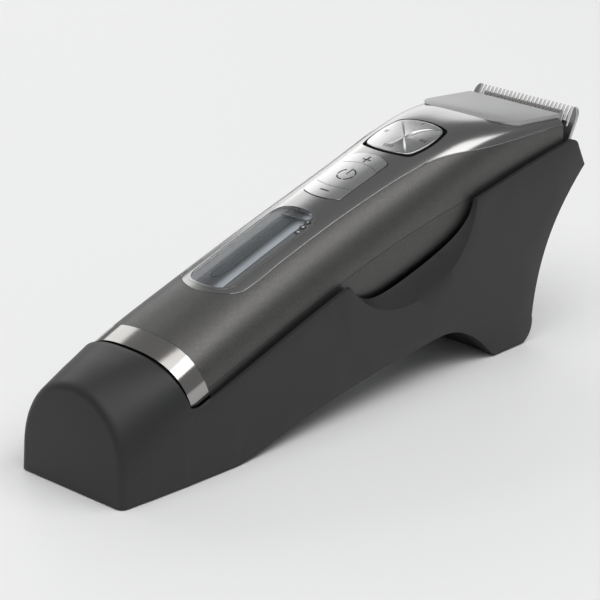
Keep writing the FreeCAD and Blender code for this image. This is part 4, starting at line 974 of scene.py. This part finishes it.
class CLIPPER_OT_stand(bpy.types.Operator):
    """Charging stand"""
    bl_idname = "clipper.stand"
    bl_label = "Stand"

    def execute(self, context):
        refined("stand_housing", 0.7, angle=28.0, segments=3)
        return {"FINISHED"}


# ---------------------------------------------------------------- stage


def area(name, spot, target, width, height, power, shade_of=(1, 1, 1)):
    light = bpy.data.lights.new(name, "AREA")
    light.shape = "RECTANGLE"
    light.size = width
    light.size_y = height
    light.energy = power
    light.color = shade_of
    obj = bpy.data.objects.new(name, light)
    bpy.context.scene.collection.objects.link(obj)
    obj.location = spot
    obj.rotation_euler = (Vector(target) - Vector(spot)).to_track_quat("-Z", "Y").to_euler()
    return obj


class CLIPPER_OT_stage(bpy.types.Operator):
    """Pale floor, softboxes and camera"""
    bl_idname = "clipper.stage"
    bl_label = "Stage"

    def execute(self, context):
        scene = context.scene
        settings = scene.clipper_stage
        points = [(-8, -8, 0), (8, -8, 0), (8, 8, 0), (-8, 8, 0)]
        floor = bpy.data.objects.new("floor", mesh_from("floor", points, [(0, 1, 2, 3)]))
        scene.collection.objects.link(floor)
        paper = Finish("floor_paper")
        fibre = paper.noise(6.0, 2.0)
        tone = paper.blend(fibre, [c * 0.99 for c in settings.floor[:3]] + [1], list(settings.floor))
        floor.data.materials.append(paper.done(Base_Color=tone, Roughness=0.6 + fibre * 0.05))
        world = bpy.data.worlds.new("Studio")
        scene.world = world
        world.use_nodes = True
        world.node_tree.nodes["Background"].inputs["Color"].default_value = (0.98, 0.99, 1.0, 1)
        world.node_tree.nodes["Background"].inputs["Strength"].default_value = 0.27
        area("softbox_back", (0.24, 1.36, 0.80), (0, 0, 0.03), 1.7, 0.7, settings.softbox * 0.58)
        area("softbox_low", (1.25, 1.10, 0.36), (0.05, 0, 0.06), 1.0, 0.6, settings.softbox * 0.25)
        area("softbox_top", (0.50, -0.84, 1.42), (0, 0, 0.03), 1.2, 0.8, settings.softbox * 0.84)
        area("softbox_fill", (-0.65, -0.45, 1.9), (0.05, -0.1, 0), 2.2, 2.2, settings.softbox * 2.55)
        camera = bpy.data.objects.new("camera", bpy.data.cameras.new("camera"))
        scene.collection.objects.link(camera)
        camera.data.lens = settings.lens
        camera.data.sensor_width = 36.0
        camera.data.clip_start = 0.01
        camera.location = (-0.56786, -0.52979, 0.32903)
        camera.rotation_euler = (math.radians(68.948), 0, math.radians(-46.622))
        scene.camera = camera
        scene.view_settings.view_transform = "Standard"
        return {"FINISHED"}


# ---------------------------------------------------------------- panel and registration

OPERATORS = (CLIPPER_OT_hardware, CLIPPER_OT_shells, CLIPPER_OT_head, CLIPPER_OT_keys, CLIPPER_OT_pad,
             CLIPPER_OT_window, CLIPPER_OT_trim, CLIPPER_OT_blades, CLIPPER_OT_stand, CLIPPER_OT_stage)
GROUPS = {"clipper_colours": ClipperColours, "clipper_sizes": ClipperSizes, "clipper_stage": ClipperStage}


class CLIPPER_PT_pieces(bpy.types.Panel):
    """Lists the pieces"""
    bl_idname = "CLIPPER_PT_pieces"
    bl_label = "Clipper"
    bl_space_type = "VIEW_3D"
    bl_region_type = "UI"
    bl_category = "Clipper"

    def draw(self, context):
        for operator in OPERATORS:
            self.layout.operator(operator.bl_idname)
        for name, group in GROUPS.items():
            box = self.layout.box()
            for setting in group.__annotations__:
                box.prop(getattr(context.scene, name), setting)


def register():
    for group in GROUPS.values():
        bpy.utils.register_class(group)
    for operator in OPERATORS:
        bpy.utils.register_class(operator)
    bpy.utils.register_class(CLIPPER_PT_pieces)
    for name, group in GROUPS.items():
        setattr(bpy.types.Scene, name, PointerProperty(type=group))


def unregister():
    for name in GROUPS:
        delattr(bpy.types.Scene, name)
    bpy.utils.unregister_class(CLIPPER_PT_pieces)
    for operator in reversed(OPERATORS):
        bpy.utils.unregister_class(operator)
    for group in GROUPS.values():
        bpy.utils.unregister_class(group)


def main():
    register()
    bpy.ops.clipper.hardware()
    bpy.ops.clipper.shells()
    bpy.ops.clipper.head()
    bpy.ops.clipper.keys()
    bpy.ops.clipper.pad()
    bpy.ops.clipper.window()
    bpy.ops.clipper.trim()
    bpy.ops.clipper.blades()
    bpy.ops.clipper.stand()
    bpy.ops.clipper.stage()


if __name__ == "__main__":
    main()
